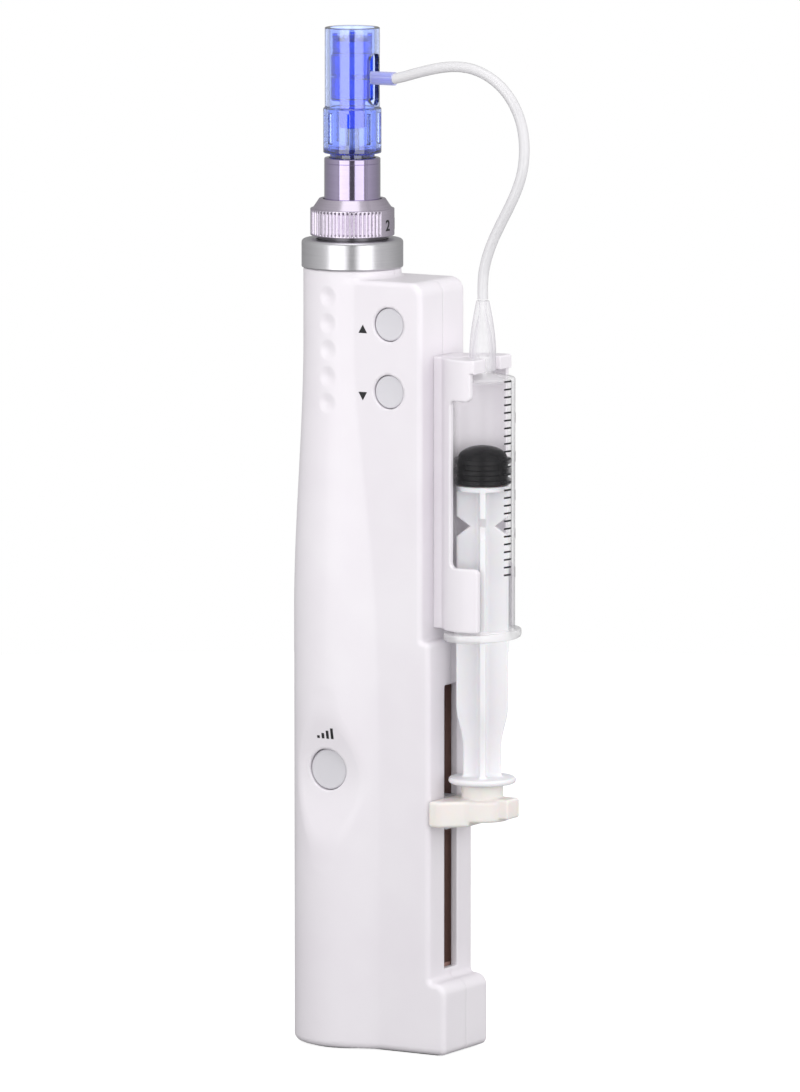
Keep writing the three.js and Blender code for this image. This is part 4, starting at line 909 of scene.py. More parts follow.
NEEDLES = 8
NEEDLE_RING = 2.1 * MM
NEEDLE_RADIUS = 0.16 * MM
NEEDLE_SIDES = 12
NEEDLE_SLIM_SHARE = 0.8
PLATE_STEPS = 64
PLATE_RADIUS = LUG_INNER - CRISP
PLATE_TOP = BLOCK_TOP + SEAT + 0.75 * MM
NEEDLE_TIP = high("needle_plate").z


def needle_plate():
    """A steel plate with a ring of needles, as one mesh of closed forms."""
    plate = lathe("needle_plate_steel", [
        (0, BLOCK_TOP + SEAT),
        (PLATE_RADIUS, BLOCK_TOP + SEAT, SEAT),
        (PLATE_RADIUS, PLATE_TOP, CRISP),
        (0, PLATE_TOP),
    ], PLATE_STEPS)
    cones = []
    for i in range(NEEDLES):
        angle = 2 * math.pi * i / NEEDLES
        centre = (NEEDLE_RING * math.cos(angle), NEEDLE_RING * math.sin(angle))
        cones.append(lathe(f"needle_{i}", [
            (0, PLATE_TOP - SEAT),
            (NEEDLE_RADIUS, PLATE_TOP - SEAT),
            (NEEDLE_RADIUS * NEEDLE_SLIM_SHARE, (PLATE_TOP + NEEDLE_TIP) / 2, SMOOTH),
            (0, NEEDLE_TIP),
        ], NEEDLE_SIDES, centre))
    return joined(plate, cones)


def joined(first, others):
    """One object of several meshes."""
    with bpy.context.temp_override(active_object=first, selected_editable_objects=[first, *others]):
        bpy.ops.object.join()
    return first


# Syringe, its hub and the hose

SYRINGE_X = middle("syringe_barrel").x
SYRINGE_RADIUS = 7 * MM
SYRINGE_WALL = 0.7 * MM
SYRINGE_BOTTOM = low("syringe_barrel").z
FLANGE_TOP = SYRINGE_BOTTOM + 1.7 * MM
TIP_TOP = high("syringe_barrel").z
SHOULDER_TOP = TIP_TOP - 3.4 * MM
SHOULDER_BOTTOM = SHOULDER_TOP - 1.1 * MM
BARREL_FROST = [
    (FLANGE_TOP + 0.6 * MM, FLANGE_TOP),
    (SHOULDER_BOTTOM - 0.9 * MM, SHOULDER_BOTTOM + 0.2 * MM),
]
LUER_RADIUS = 2 * MM
LUER_DUCT = 0.9 * MM
FLANGE_X = high("syringe_barrel").x - SYRINGE_X
FLANGE_Y = high("syringe_barrel").y


def flanged(radius, height, angle):
    """The finger flange is an oval round the barrel."""
    oval = FLANGE_X * FLANGE_Y / np.hypot(FLANGE_Y * np.cos(angle), FLANGE_X * np.sin(angle))
    beyond = np.maximum(radius - SYRINGE_RADIUS, 0) / (FLANGE_Y - SYRINGE_RADIUS)
    return radius + np.where(radius > SYRINGE_RADIUS, beyond * (oval - FLANGE_Y), 0)


def syringe_barrel():
    bore = SYRINGE_RADIUS - SYRINGE_WALL
    return lathe("barrel", [
        (bore, SYRINGE_BOTTOM, CRISP),
        (FLANGE_Y, SYRINGE_BOTTOM, BROAD),
        (FLANGE_Y, FLANGE_TOP, BROAD),
        (SYRINGE_RADIUS, FLANGE_TOP, EASED),
        (SYRINGE_RADIUS, SHOULDER_BOTTOM, SOFT),
        (LUER_RADIUS, SHOULDER_TOP, ROUND),
        (LUER_RADIUS, TIP_TOP, CRISP),
        (LUER_DUCT, TIP_TOP, CRISP),
        (LUER_DUCT, SHOULDER_TOP - SYRINGE_WALL, CRISP),
        (bore, SHOULDER_BOTTOM - SYRINGE_WALL, ROUND),
    ], 2 * TURN_STEPS, (SYRINGE_X, 0), flanged)


STOPPER_BOTTOM = low("rubber_stopper").z
STOPPER_TOP = high("rubber_stopper").z
STOPPER_RADIUS = high("rubber_stopper").x - SYRINGE_X + 0.2 * MM
STOPPER_SIDE = 5.5 * MM
STOPPER_RIBS = 3
STOPPER_GROOVE = 0.7 * MM
DOME_RADIUS = STOPPER_RADIUS - 0.9 * MM
DOME_STEPS = 8
STOPPER_EDGE = 0.25 * MM


def stopper():
    pitch = STOPPER_SIDE / (2 * STOPPER_RIBS - 1)
    groove = STOPPER_RADIUS - STOPPER_GROOVE
    side = []
    for i in range(STOPPER_RIBS):
        start = STOPPER_BOTTOM + 2 * i * pitch
        side.extend([(STOPPER_RADIUS, start, STOPPER_EDGE), (STOPPER_RADIUS, start + pitch, STOPPER_EDGE)])
        if i < STOPPER_RIBS - 1:
            side.extend([(groove, start + pitch, SLIGHT), (groove, start + 2 * pitch, SLIGHT)])
    base = STOPPER_BOTTOM + STOPPER_SIDE
    dome = []
    for i in range(DOME_STEPS):
        angle = math.pi / 2 * i / DOME_STEPS
        height = base + (STOPPER_TOP - base) * math.sin(angle)
        dome.append((DOME_RADIUS * math.cos(angle), height, SMOOTH if i else SEAT))
    corners = [(0, STOPPER_BOTTOM), *side, *dome, (0, STOPPER_TOP, SMOOTH)]
    return lathe("stopper", corners, TURN_STEPS, (SYRINGE_X, 0))


HUB_BOTTOM = SHOULDER_TOP + FIT
HUB_TOP = high("luer_hub").z
HUB_RADIUS = high("luer_hub").x - SYRINGE_X
HUB_TOP_RADIUS = 1.4 * MM
HUB_BORE_TOP = 0.8 * MM
HUB_SOCKET = LUER_RADIUS + FIT
HUB_FLARE_SHARES = [(0, 1), (0.18, 0.93), (0.36, 0.8), (0.54, 0.62), (0.72, 0.4), (0.88, 0.17), (1, 0)]
HUB_STRAIGHT = 4.4 * MM


def luer_hub():
    flare = HUB_TOP - HUB_BOTTOM - HUB_STRAIGHT
    side = []
    inside = []
    for rise, width in HUB_FLARE_SHARES:
        height = HUB_BOTTOM + HUB_STRAIGHT + rise * flare
        side.append((HUB_TOP_RADIUS + (HUB_RADIUS - HUB_TOP_RADIUS) * width, height, SMOOTH))
    for rise, width in reversed(HUB_FLARE_SHARES):
        height = TIP_TOP + FIT + rise * (HUB_TOP - OVERRUN - TIP_TOP)
        inside.append((HUB_BORE_TOP + (HUB_SOCKET - HUB_BORE_TOP) * width, height, SMOOTH))
    return lathe("hub", [
        (HUB_SOCKET, HUB_BOTTOM, CRISP),
        (HUB_RADIUS, HUB_BOTTOM, CRISP),
        *side[:-1],
        (HUB_TOP_RADIUS, HUB_TOP, CRISP),
        (HUB_BORE_TOP, HUB_TOP, CRISP),
        *inside,
    ], TURN_STEPS, (SYRINGE_X, 0))


# The hose's route in X and Z, from the nipple over to the hub
HOSE_ROUTE = [
    (10.4, 209.85), (13.1, 210.5), (16.1, 211.35), (19.1, 212.1), (22, 212.7),
    (25, 213.05), (28, 213), (31, 212.4), (33.9, 211.2), (36.5, 209.5),
    (38.7, 207.3), (40.4, 204.8), (41.6, 202.1), (42.3, 199.3), (42.55, 196.4),
    (42.4, 193.4), (41.75, 190.2), (40.5, 186.9), (38.85, 183.6), (36.95, 180.2),
    (35.15, 176.8), (33.7, 173.4), (32.75, 170), (32.4, 166.9), (32.4, 163.6),
]
HOSE_RADIUS = 1.125 * MM
HOSE_BORE = 0.55 * MM
HOSE_SIDES = 32
HOSE_STEPS = 8
FITTING_START = CARTRIDGE_UPPER - CARTRIDGE_WALL
FITTING_LAP = 0.5 * MM
FITTING_RADIUS = 1.45 * MM
FITTING_STEPS = 8


def delivery_hose():
    line = smooth_line([(x * MM, 0, z * MM) for x, z in HOSE_ROUTE], HOSE_STEPS)
    hose = tube_along("hose", line, HOSE_RADIUS, HOSE_SIDES, HOSE_BORE)
    return hose


def hose_fitting():
    """The soft sleeve that holds the hose on its nipple."""
    step = (NIPPLE_REACH + FITTING_LAP - FITTING_START) / FITTING_STEPS
    line = [(FITTING_START + step * i, 0, NIPPLE_Z) for i in range(FITTING_STEPS + 1)]
    return tube_along("hose_fitting", np.array(line), FITTING_RADIUS, HOSE_SIDES, NIPPLE_RADIUS + SEAT)


# Plunger rod

THUMB_BOTTOM = low("plunger_rod").z
THUMB_TOP = THUMB_BOTTOM + 1.3 * MM
THUMB_RADIUS = high("plunger_rod").x - SYRINGE_X
PLUNGER_TOP = high("plunger_rod").z
FIN_HALF_WIDTH = 5.6 * MM
FIN_LOW_HALF_WIDTH = 4.1 * MM
FIN_TAPER = (THUMB_TOP + 6.5 * MM, THUMB_TOP + 15.5 * MM)
FIN_HALF_THICKNESS = 0.65 * MM
FIN_EDGE = 0.35 * MM
FIN_FILLET = 0.9 * MM
NOTCH_Z = PLUNGER_TOP - 8.9 * MM
NOTCH_DEPTH = 2.9 * MM
NOTCH_HALF = 2.2 * MM
PLUNGER_DISC = 1.2 * MM
PLUNGER_CELL = 0.24 * MM


def plunger(x, y, z):
    """Two crossed fins between a thumb disc and the disc that holds the stopper."""
    turn = CAMERA_AZIMUTH
    a = np.abs((x - SYRINGE_X) * math.cos(turn) + y * math.sin(turn))
    b = np.abs(y * math.cos(turn) - (x - SYRINGE_X) * math.sin(turn))
    reach = FIN_LOW_HALF_WIDTH + (FIN_HALF_WIDTH - FIN_LOW_HALF_WIDTH) * smooth_share(z, *FIN_TAPER)
    notch = NOTCH_DEPTH * np.maximum(1 - np.abs(z - NOTCH_Z) / NOTCH_HALF, 0)
    upright = slab(z, THUMB_BOTTOM + SEAT, PLUNGER_TOP - SEAT)
    fins = either(
        both(a - reach + notch, b - FIN_HALF_THICKNESS, FIN_EDGE),
        both(b - reach + notch, a - FIN_HALF_THICKNESS, FIN_EDGE),
        FIN_FILLET,
    )
    across = np.hypot(x - SYRINGE_X, y)
    thumb = rod_field(across, z, THUMB_RADIUS, THUMB_BOTTOM, THUMB_TOP, SOFT)
    top = rod_field(across, z, FIN_HALF_WIDTH, PLUNGER_TOP - PLUNGER_DISC, PLUNGER_TOP, EASED)
    return either(either(both(fins, upright), thumb, FIN_FILLET), top, FIN_EDGE)


# Cradle

CRADLE_BOTTOM = low("syringe_cradle").z
CRADLE_TOP = high("syringe_cradle").z
CRADLE_INNER = SYRINGE_RADIUS + FIT
CRADLE_OUTER = CRADLE_INNER + 1.3 * MM
LOWER_TOP = CRADLE_BOTTOM + 13.8 * MM
FORK_BOTTOM = CRADLE_TOP - 2.9 * MM
UPPER_BOTTOM = FORK_BOTTOM - 6 * MM
LOWER_REACH = 3.3 * MM
UPPER_REACH = 1.7 * MM
FORK_REACH = 2.5 * MM
MIDDLE_REACH = -3.5 * MM
WEB_HALF = 4.2 * MM
FORK_HALF = HUB_RADIUS + FIT
CRADLE_EDGE = 0.4 * MM
CLAMP_FILLET = 1.2 * MM
CRADLE_SCREW_TIP = -7.85 * MM
CRADLE_CELL = 0.24 * MM


def cradle(x, y, z):
    """A web on the box's side with two clamps round the syringe and a fork under its hub."""
    along = x - SYRINGE_X
    across = np.hypot(along, y)
    lower = both(along - LOWER_REACH, z - LOWER_TOP, CLAMP_FILLET)
    upper = both(along - UPPER_REACH, UPPER_BOTTOM - z, CLAMP_FILLET)
    prong = both(along - FORK_REACH, FORK_BOTTOM - z)
    back = both(along - UPPER_REACH, -y)
    spread = either(either(either(lower, upper), along - MIDDLE_REACH, CLAMP_FILLET), either(prong, back))
    ring = both(across - CRADLE_OUTER, spread, CRADLE_EDGE)
    ring = both(ring, slab(z, CRADLE_BOTTOM, CRADLE_TOP), CRADLE_EDGE)
    web = both(np.abs(y) - WEB_HALF, slab(z, CRADLE_BOTTOM, CRADLE_TOP), CRADLE_EDGE)
    web = both(both(web, along + CRADLE_INNER / 2), BOX_REACH + SEAT - x)
    form = either(ring, web, SOFT)
    form = without(form, both(across - CRADLE_INNER, z - FORK_BOTTOM), CRADLE_EDGE / 2)
    notch = np.hypot(np.minimum(along, 0), y) - FORK_HALF
    form = without(form, both(notch, FORK_BOTTOM - OVERRUN - z), CRADLE_EDGE / 2)
    for height in CRADLE_SCREWS:
        bore = np.hypot(y, z - height) - SCREW_BORE
        form = without(form, both(bore, along - CRADLE_SCREW_TIP))
    return form


# Pusher, carriage, nut and lead screw

PUSHER_BOTTOM = low("pusher_arm").z
BOSS_TOP = high("pusher_arm").z
PUSHER_TOP = PUSHER_BOTTOM + 5.6 * MM
PUSHER_LEFT = low("pusher_arm").x
PUSHER_HALF = high("pusher_arm").y
PUSHER_BAR = 2.7 * MM
ARM_HALF = 5.8 * MM
ARM_END = 6 * MM
ARM_BOTTOM = PUSHER_BOTTOM + 1 * MM
BOSS_RADIUS = 4.5 * MM
TAB_REACH = high("pusher_arm").x
TAB_HALF = 2.6 * MM
TAB_BOTTOM = PUSHER_BOTTOM + 1.7 * MM
TAB_TOP = TAB_BOTTOM + 4.3 * MM
PUSHER_EDGE = 0.7 * MM
PUSHER_CELL = 0.2 * MM


def pusher(x, y, z):
    """A bar across the rail that tapers to a round boss under the thumb disc, with a finger tab."""
    bar_right = PUSHER_LEFT + PUSHER_BAR
    run = SYRINGE_X - bar_right
    slope = (PUSHER_HALF - ARM_HALF) / run
    flank = (np.abs(y) - PUSHER_HALF + (x - bar_right) * slope) / math.hypot(1, slope)
    plan = both(flank, np.abs(y) - PUSHER_HALF, PUSHER_EDGE)
    plan = both(both(plan, x - SYRINGE_X), PUSHER_LEFT - x, FULL)
    bar = both(plan, slab(z, PUSHER_BOTTOM, PUSHER_TOP), PUSHER_EDGE)
    across = np.hypot(x - SYRINGE_X, y)
    end = rod_field(across, z, ARM_END, ARM_BOTTOM, PUSHER_TOP - SEAT, PUSHER_EDGE)
    boss = rod_field(across, z, BOSS_RADIUS, ARM_BOTTOM, BOSS_TOP, EASED)
    tab = both(both(np.abs(y) - TAB_HALF, x - TAB_REACH, FULL), SYRINGE_X - x)
    tab = both(tab, slab(z, TAB_BOTTOM, TAB_TOP), SOFT)
    return either(either(either(bar, end, FULL), tab, ROUND), boss, ROUND)


SCREW_X = middle("lead_screw").x
CARRIAGE_RIGHT = SCREW_X + 5 * MM
NECK_HALF = SLOT_HALF_WIDTH - FIT
NUT_RADIUS = high("drive_nut").y
NUT_BOTTOM = low("drive_nut").z
LEAD_RADIUS = 1.5 * MM
LEAD_STARTS = 3
LEAD_PITCH = 1 * MM
LEAD_DEPTH = 0.22 * MM
LEAD_HEAD = 1.6 * MM
FLANK_SHARES = (0.2, 0.8)
NECK_DROP = 1.6 * MM


def carriage(x, y, z):
    start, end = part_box("slide_carriage")
    end.x = CARRIAGE_RIGHT
    body = brick(x, y, z, start, end, ROUND, ROUND)
    neck = both(np.abs(y) - NECK_HALF, slab(z, PUSHER_BOTTOM - NECK_DROP, PUSHER_TOP), EASED)
    form = either(body, both(neck, slab(x, SCREW_X, RAIL_REACH)), EASED)
    across = np.hypot(x - SCREW_X, y)
    form = without(form, across - LEAD_RADIUS - FIT)
    return without(form, both(across - NUT_RADIUS - FIT, NUT_BOTTOM - SEAT - z))


def lead_screw(x, y, z):
    start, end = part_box("lead_screw")
    across = np.hypot(x - SCREW_X, y)
    winding = thread(z, np.arctan2(y, x - SCREW_X), LEAD_PITCH, LEAD_STARTS)
    cut = LEAD_DEPTH * smooth_share(winding, *FLANK_SHARES)
    shaft = rod_field(across, z, LEAD_RADIUS, start.z, end.z, CRISP)
    head = rod_field(across, z, end.y, start.z, start.z + LEAD_HEAD, CRISP)
    return either(np.maximum(shaft, across - LEAD_RADIUS + cut), head)


SPRING_WIRE = 0.24 * MM
SPRING_RADIUS = high("return_spring").x - SPRING_WIRE
SPRING_COILS = 9
SPRING_STEPS = 28
SPRING_SIDES = 10
END_PITCH = 2.2 * SPRING_WIRE


def return_spring():
    """A coil whose first and last turns lie flat."""
    start = low("return_spring").z + SPRING_WIRE
    end = high("return_spring").z - SPRING_WIRE
    count = SPRING_COILS * SPRING_STEPS
    line = []
    for i in range(count + 1):
        angle = 2 * math.pi * i / SPRING_STEPS
        share = np.clip((i - SPRING_STEPS) / (count - 2 * SPRING_STEPS), 0, 1)
        first, last = END_PITCH * np.clip([i, count - i], 0, SPRING_STEPS) / SPRING_STEPS
        height = start + first + share * (end - start - 2 * END_PITCH) + END_PITCH - last
        line.append((SPRING_RADIUS * math.cos(angle), SPRING_RADIUS * math.sin(angle), height))
    return tube_along("spring", np.array(line), SPRING_WIRE, SPRING_SIDES)


# Pieces inside the housing

SHAFT_BORE = high("motor_shaft").x + FIT
MOTOR_SEAM = 5 * MM
MOTOR_GROOVE = 0.2 * MM
MOTOR_BOSS = 0.9 * MM
MOTOR_DOME = 0.5 * MM
MOTOR_FACE_SHARE = 0.55
MOTOR_BOSS_SHARE = 0.42
CELL_CAP = 0.7 * MM
CELL_GROOVE = 0.25 * MM
CELL_FACE_SHARE = 0.8
CELL_RIM_SHARE = 0.84
CELL_CAP_SHARE = 0.36


def needle_motor():
    start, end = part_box("needle_motor")
    floor = low("motor_shaft").z - FIT
    seam = start.z + MOTOR_SEAM
    boss = MOTOR_RADIUS * MOTOR_BOSS_SHARE
    return lathe("motor_can", [
        (0, start.z),
        (MOTOR_RADIUS * MOTOR_FACE_SHARE, start.z, CRISP),
        (MOTOR_RADIUS, start.z + MOTOR_DOME, SOFT),
        (MOTOR_RADIUS, seam, SEAT),
        (MOTOR_RADIUS - MOTOR_GROOVE, seam + MOTOR_GROOVE, SEAT),
        (MOTOR_RADIUS, seam + 2 * MOTOR_GROOVE, SEAT),
        (MOTOR_RADIUS, end.z - MOTOR_BOSS, BROAD),
        (boss, end.z - MOTOR_BOSS, SLIGHT),
        (boss, end.z, CRISP),
        (SHAFT_BORE, end.z),
        (SHAFT_BORE, floor),
        (0, floor),
    ])


def battery_cell():
    start, end, centre = span("battery_cell")
    radius = (end.x - start.x) / 2
    face = radius * CELL_FACE_SHARE
    rim = radius * CELL_RIM_SHARE
    cap = radius * CELL_CAP_SHARE
    step = end.z - CELL_CAP
    return lathe("cell", [
        (0, start.z + CELL_GROOVE),
        (face, start.z + CELL_GROOVE, SEAT),
        (rim, start.z, SEAT),
        (radius, start.z, BROAD),
        (radius, step, BROAD),
        (rim, step, SEAT),
        (face, step - CELL_GROOVE, SEAT),
        (cap, step - CELL_GROOVE, SEAT),
        (cap, end.z, EASED),
        (0, end.z),
    ], TURN_STEPS, centre.xy)


def turned(name, node, bore=0.0):
    """A rod or a sleeve with eased ends, as big as its node."""
    start, end, centre = span(node)
    radius = (end.y - start.y) / 2
    inner = CRISP / 2 if bore else 0
    return lathe(name, [
        (bore, start.z, inner),
        (radius, start.z, CRISP),
        (radius, end.z, CRISP),
        (bore, end.z, inner),
    ], SMALL_TURN_STEPS, centre.xy)


def flanged_bush(name, node, bore, wall, flange, flange_below=False):
    start, end, centre = span(node)
    radius = (end.y - start.y) / 2
    near, far = (start.z, end.z) if flange_below else (end.z, start.z)
    step = near + math.copysign(flange, far - near)
    return lathe(name, [
        (bore, near),
        (radius, near, CRISP),
        (radius, step, CRISP),
        (bore + wall, step, SEAT),
        (bore + wall, far, CRISP),
        (bore, far),
    ], SMALL_TURN_STEPS, centre.xy)


PUSH_DISC = high("push_rod").x
PUSH_SHAFT = 1.5 * MM
PUSH_FINGER = 0.9 * MM
PUSH_FINGER_LENGTH = 2 * MM
PUSH_DISC_HEIGHT = 1.5 * MM
PUSH_CELL = 0.15 * MM
BUSH_WALL = 1 * MM
BUSH_FLANGE = 1.2 * MM
BEARING_FLANGE = 0.75 * MM
STROKE = 2.5 * MM
CHANNEL_WALL = 1 * MM
CHANNEL_ENDS = 2.5 * MM
GEARBOX_SEAM_SHARES = (0.12, 0.88)
FEED_MOTOR_EDGE = 1.6 * MM
FEED_MOTOR_CAP = 0.6 * MM
FEED_MOTOR_CAP_SHARE = 0.45
FEED_MOTOR_END_EDGE = 0.35 * MM
SOCKET_WALL = 0.35 * MM
SOCKET_DEPTH = 1 * MM
TONGUE_HALF_LENGTH = 3.3 * MM
TONGUE_RISE = 0.6 * MM


def push_rod(x, y, z):
    start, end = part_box("push_rod")
    bottom = start.z + PUSH_FINGER_LENGTH
    across = np.hypot(x, y)
    disc = rod_field(across, z, PUSH_DISC, bottom, bottom + PUSH_DISC_HEIGHT, EASED)
    shaft = rod_field(across, z, PUSH_SHAFT, bottom, end.z, CRISP)
    side = np.hypot(x - PUSH_FINGER + PUSH_DISC, y)
    finger = rod_field(side, z, PUSH_FINGER, start.z, bottom + FIT, ROUND)
    return either(either(disc, shaft, ROUND), finger, CRISP)


def drive_cam(x, y, z):
    start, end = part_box("drive_cam")
    slope = STROKE / (2 * end.x)
    top = (z - end.z + STROKE / 2 - x * slope) / math.hypot(1, slope)
    across = np.hypot(x, y)
    drum = both(both(across - end.x, top, CRISP), start.z - z, EASED)
    return without(drum, both(across - SHAFT_BORE, z - high("motor_shaft").z - FIT))


def guide_channel(x, y, z):
    start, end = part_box("guide_channel")
    inside = both(start.x + CHANNEL_WALL - x, np.abs(y) - end.y + CHANNEL_WALL, EASED)
    inside = both(inside, slab(z, start.z + CHANNEL_ENDS, end.z - CHANNEL_ENDS), EASED)
    form = without(brick(x, y, z, start, end, SLIGHT, SLIGHT), inside, CRISP)
    return without(form, np.hypot(x - SCREW_X, y) - high("lead_screw").y - FIT)


def gearbox(x, y, z):
    start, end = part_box("drive_gearbox")
    body = brick(x, y, z, start, end, FULL, SLIGHT)
    for share in GEARBOX_SEAM_SHARES:
        seam = start.z + share * (end.z - start.z)
        body = without(body, both(np.abs(z - seam) - SEAT, -body - CRISP))
    return without(body, np.hypot(x - SCREW_X, y) - high("gearbox_shaft").y - FIT)


def drive_motor(x, y, z):
    start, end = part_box("drive_motor")
    across = np.hypot(x - SCREW_X, y)
    cap = rod_field(across, z, end.y * FEED_MOTOR_CAP_SHARE, start.z + FIT, end.z, CRISP)
    end.z -= FEED_MOTOR_CAP
    return either(brick(x, y, z, start, end, FEED_MOTOR_EDGE, FEED_MOTOR_END_EDGE), cap, CRISP)


def charging_socket(x, y, z):
    start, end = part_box("charging_socket")
    outer = both(stadium(x, y, SOCKET_HALF_LENGTH, SOCKET_HALF_WIDTH), slab(z, start.z, end.z), SEAT)
    inner = stadium(x, y, SOCKET_HALF_LENGTH - SOCKET_WALL, SOCKET_HALF_WIDTH - SOCKET_WALL)
    form = without(outer, both(inner, z - end.z + SOCKET_DEPTH), SEAT)
    tongue = both(np.abs(x - SOCKET.x) - TONGUE_HALF_LENGTH, np.abs(y) - SOCKET_WALL, SEAT)
    return either(form, both(tongue, slab(z, start.z + TONGUE_RISE, end.z)))


# Marks, as thin closed plates laid on a surface

MARK_HALF_THICKNESS = 0.035 * MM
MARK_EDGE = 0.4 * MM
MARK_ROUNDS = 4
BOLD_SHARE = 0.02


def flat_text(text, size):
    """Flat outline of a text, centred, as a bmesh."""
    curve = bpy.data.curves.new("mark", "FONT")
    curve.body = text
    curve.size = size
    curve.offset = size * BOLD_SHARE
    curve.align_x = "CENTER"
    curve.align_y = "CENTER"
    holder = bpy.data.objects.new("mark", curve)
    flat = bmesh.new()
    mesh = bpy.data.meshes.new_from_object(holder)
    flat.from_mesh(mesh)
    bmesh.ops.remove_doubles(flat, verts=flat.verts, dist=size / 1000)
    bpy.data.objects.remove(holder)
    bpy.data.curves.remove(curve)
    bpy.data.meshes.remove(mesh)
    return flat


def flat_shape(corners):
    flat = bmesh.new()
    flat.faces.new([flat.verts.new((u, v, 0)) for u, v in corners])
    return flat


def bar(width, height, u=0, v=0):
    return flat_shape([
        (u - width / 2, v - height / 2), (u + width / 2, v - height / 2),
        (u + width / 2, v + height / 2), (u - width / 2, v + height / 2),
    ])


def marks(name, pairs):
    """One mesh of flat shapes, each laid on the surface that its place(u, v, rise) describes."""
    points = []
    faces = []
    for flat, place in pairs:
        bmesh.ops.triangulate(flat, faces=flat.faces)
        for _ in range(MARK_ROUNDS):
            long_edges = [edge for edge in flat.edges if edge.calc_length() > MARK_EDGE]
            if not long_edges:
                break
            bmesh.ops.subdivide_edges(flat, edges=long_edges, cuts=1)
            bmesh.ops.triangulate(flat, faces=flat.faces)
        bmesh.ops.recalc_face_normals(flat, faces=flat.faces)
        flat.verts.index_update()
        flat.normal_update()
        base = len(points)
        count = len(flat.verts)
        for rise in (MARK_HALF_THICKNESS, -MARK_HALF_THICKNESS):
            points.extend(place(vert.co.x, vert.co.y, rise) for vert in flat.verts)
        for face in flat.faces:
            ring = [vert.index for vert in face.verts]
            ring = ring if face.normal.z > 0 else ring[::-1]
            faces.append([base + i for i in ring])
            faces.append([base + count + i for i in ring[::-1]])
            for loop in face.loops:
                if len(loop.edge.link_faces) == 1:
                    a = loop.vert.index
                    b = loop.link_loop_next.vert.index
                    if face.normal.z <= 0:
                        a, b = b, a
                    faces.append([base + a, base + count + a, base + count + b, base + b])
        flat.free()
    return mesh_object(name, points, faces)


def on_cylinder(radius, centre_x, azimuth, height):
    """Lays a mark upright on a cylinder along Z, centred at an azimuth and a height."""

    def place(u, v, rise):
        angle = azimuth + u / radius
        out = radius + rise
        return (centre_x + out * math.cos(angle), out * math.sin(angle), height + v)

    return place


def on_front(y, x, z):
    """Lays a mark on a face that looks towards the front."""

    def place(u, v, rise):
        return (x + u, y - rise, z + v)

    return place


TICKS = 26
TICK_PITCH = 1.664 * MM
TICK_TOP = SHOULDER_BOTTOM - 0.5 * MM
TICK_HALF_HEIGHT = 0.19 * MM
TICK_START = math.radians(-19)
TICK_END = math.radians(0)
NUMERAL_AZIMUTH = math.radians(27)
NUMERAL_SIZE = 3 * MM
TICKS_PER_NUMERAL = 5


def barrel_marks():
    """Graduation lines, and a plain number at each fifth."""
    length = SYRINGE_RADIUS * (TICK_END - TICK_START)
    pairs = []
    for i in range(TICKS):
        line = bar(length, 2 * TICK_HALF_HEIGHT)
        height = TICK_TOP - i * TICK_PITCH
        pairs.append((line, on_cylinder(SYRINGE_RADIUS, SYRINGE_X, (TICK_START + TICK_END) / 2, height)))
        if i and i % TICKS_PER_NUMERAL == 0:
            text = flat_text(str(i // TICKS_PER_NUMERAL), NUMERAL_SIZE)
            pairs.append((text, on_cylinder(SYRINGE_RADIUS, SYRINGE_X, NUMERAL_AZIMUTH, height)))
    return marks("barrel_marks", pairs)


DIAL_NUMERALS = 5
DIAL_UNIT = 0.5
DIAL_DROP = 0.6 * MM
DIAL_STEP = math.radians(40)
DIAL_START = math.radians(-2)
DIAL_NUMERAL_SIZE = 3.3 * MM


def dial_marks():
    """The needle's depth in half millimetres on the depth ring's smooth sector."""
    height = (RING_BOTTOM + RING_TOP) / 2 - DIAL_DROP
    pairs = []
    for i in range(DIAL_NUMERALS):
        text = flat_text(f"{(DIAL_NUMERALS - 1 - i) * DIAL_UNIT:g}", DIAL_NUMERAL_SIZE)
        pairs.append((text, on_cylinder(RING_RADIUS, 0, DIAL_START + i * DIAL_STEP, height)))
    return marks("dial_marks", pairs)


ARROW_HALF_WIDTH = 1.05 * MM
ARROW_HEIGHT = 1.8 * MM
ARROW_PLACE_X = 8.2 * MM
ARROW_DROP = 1.2 * MM
LEVEL_BARS = 4
LEVEL_PITCH = 1.15 * MM
LEVEL_WIDTH = 0.65 * MM
LEVEL_STEP = 0.6 * MM
LEVEL_RISE = 1.6 * MM


def arrow(name, button, way):
    """A triangle beside a button that points the way it drives the syringe."""
    tip = way * ARROW_HEIGHT / 2
    corners = [(-ARROW_HALF_WIDTH, -tip), (ARROW_HALF_WIDTH, -tip), (0, tip)]
    place = on_front(-HALF_DEPTH, ARROW_PLACE_X, middle(button).z - ARROW_DROP)
    return marks(name, [(flat_shape(corners), place)])


def level_marks():
    """Rising bars over the speed button, on the facet."""
    foot = high("speed_button").z + LEVEL_RISE
    first = -(LEVEL_BARS - 1) / 2 * LEVEL_PITCH

    def place(u, v, rise):
        return (u, facet_dish(foot + v) - GRIP_RADIUS - rise, foot + v)

    pairs = []
    for i in range(LEVEL_BARS):
        height = (i + 1) * LEVEL_STEP
        pairs.append((bar(LEVEL_WIDTH, height, first + i * LEVEL_PITCH, height / 2), place))
    return marks("level_marks", pairs)


# Shaders

CLOUD_GRAIN = 60
SWELL_GRAIN = 260
MILK_GRAIN = 200
GLOSS_GRAIN = 900
RELIEF = 0.003 * MM
PLASTIC_GIVE = 0.05
METAL_GIVE_SHARE = 0.08
MILKY_GIVE_SHARE = 0.2
EDGE_BLEND = 0.35


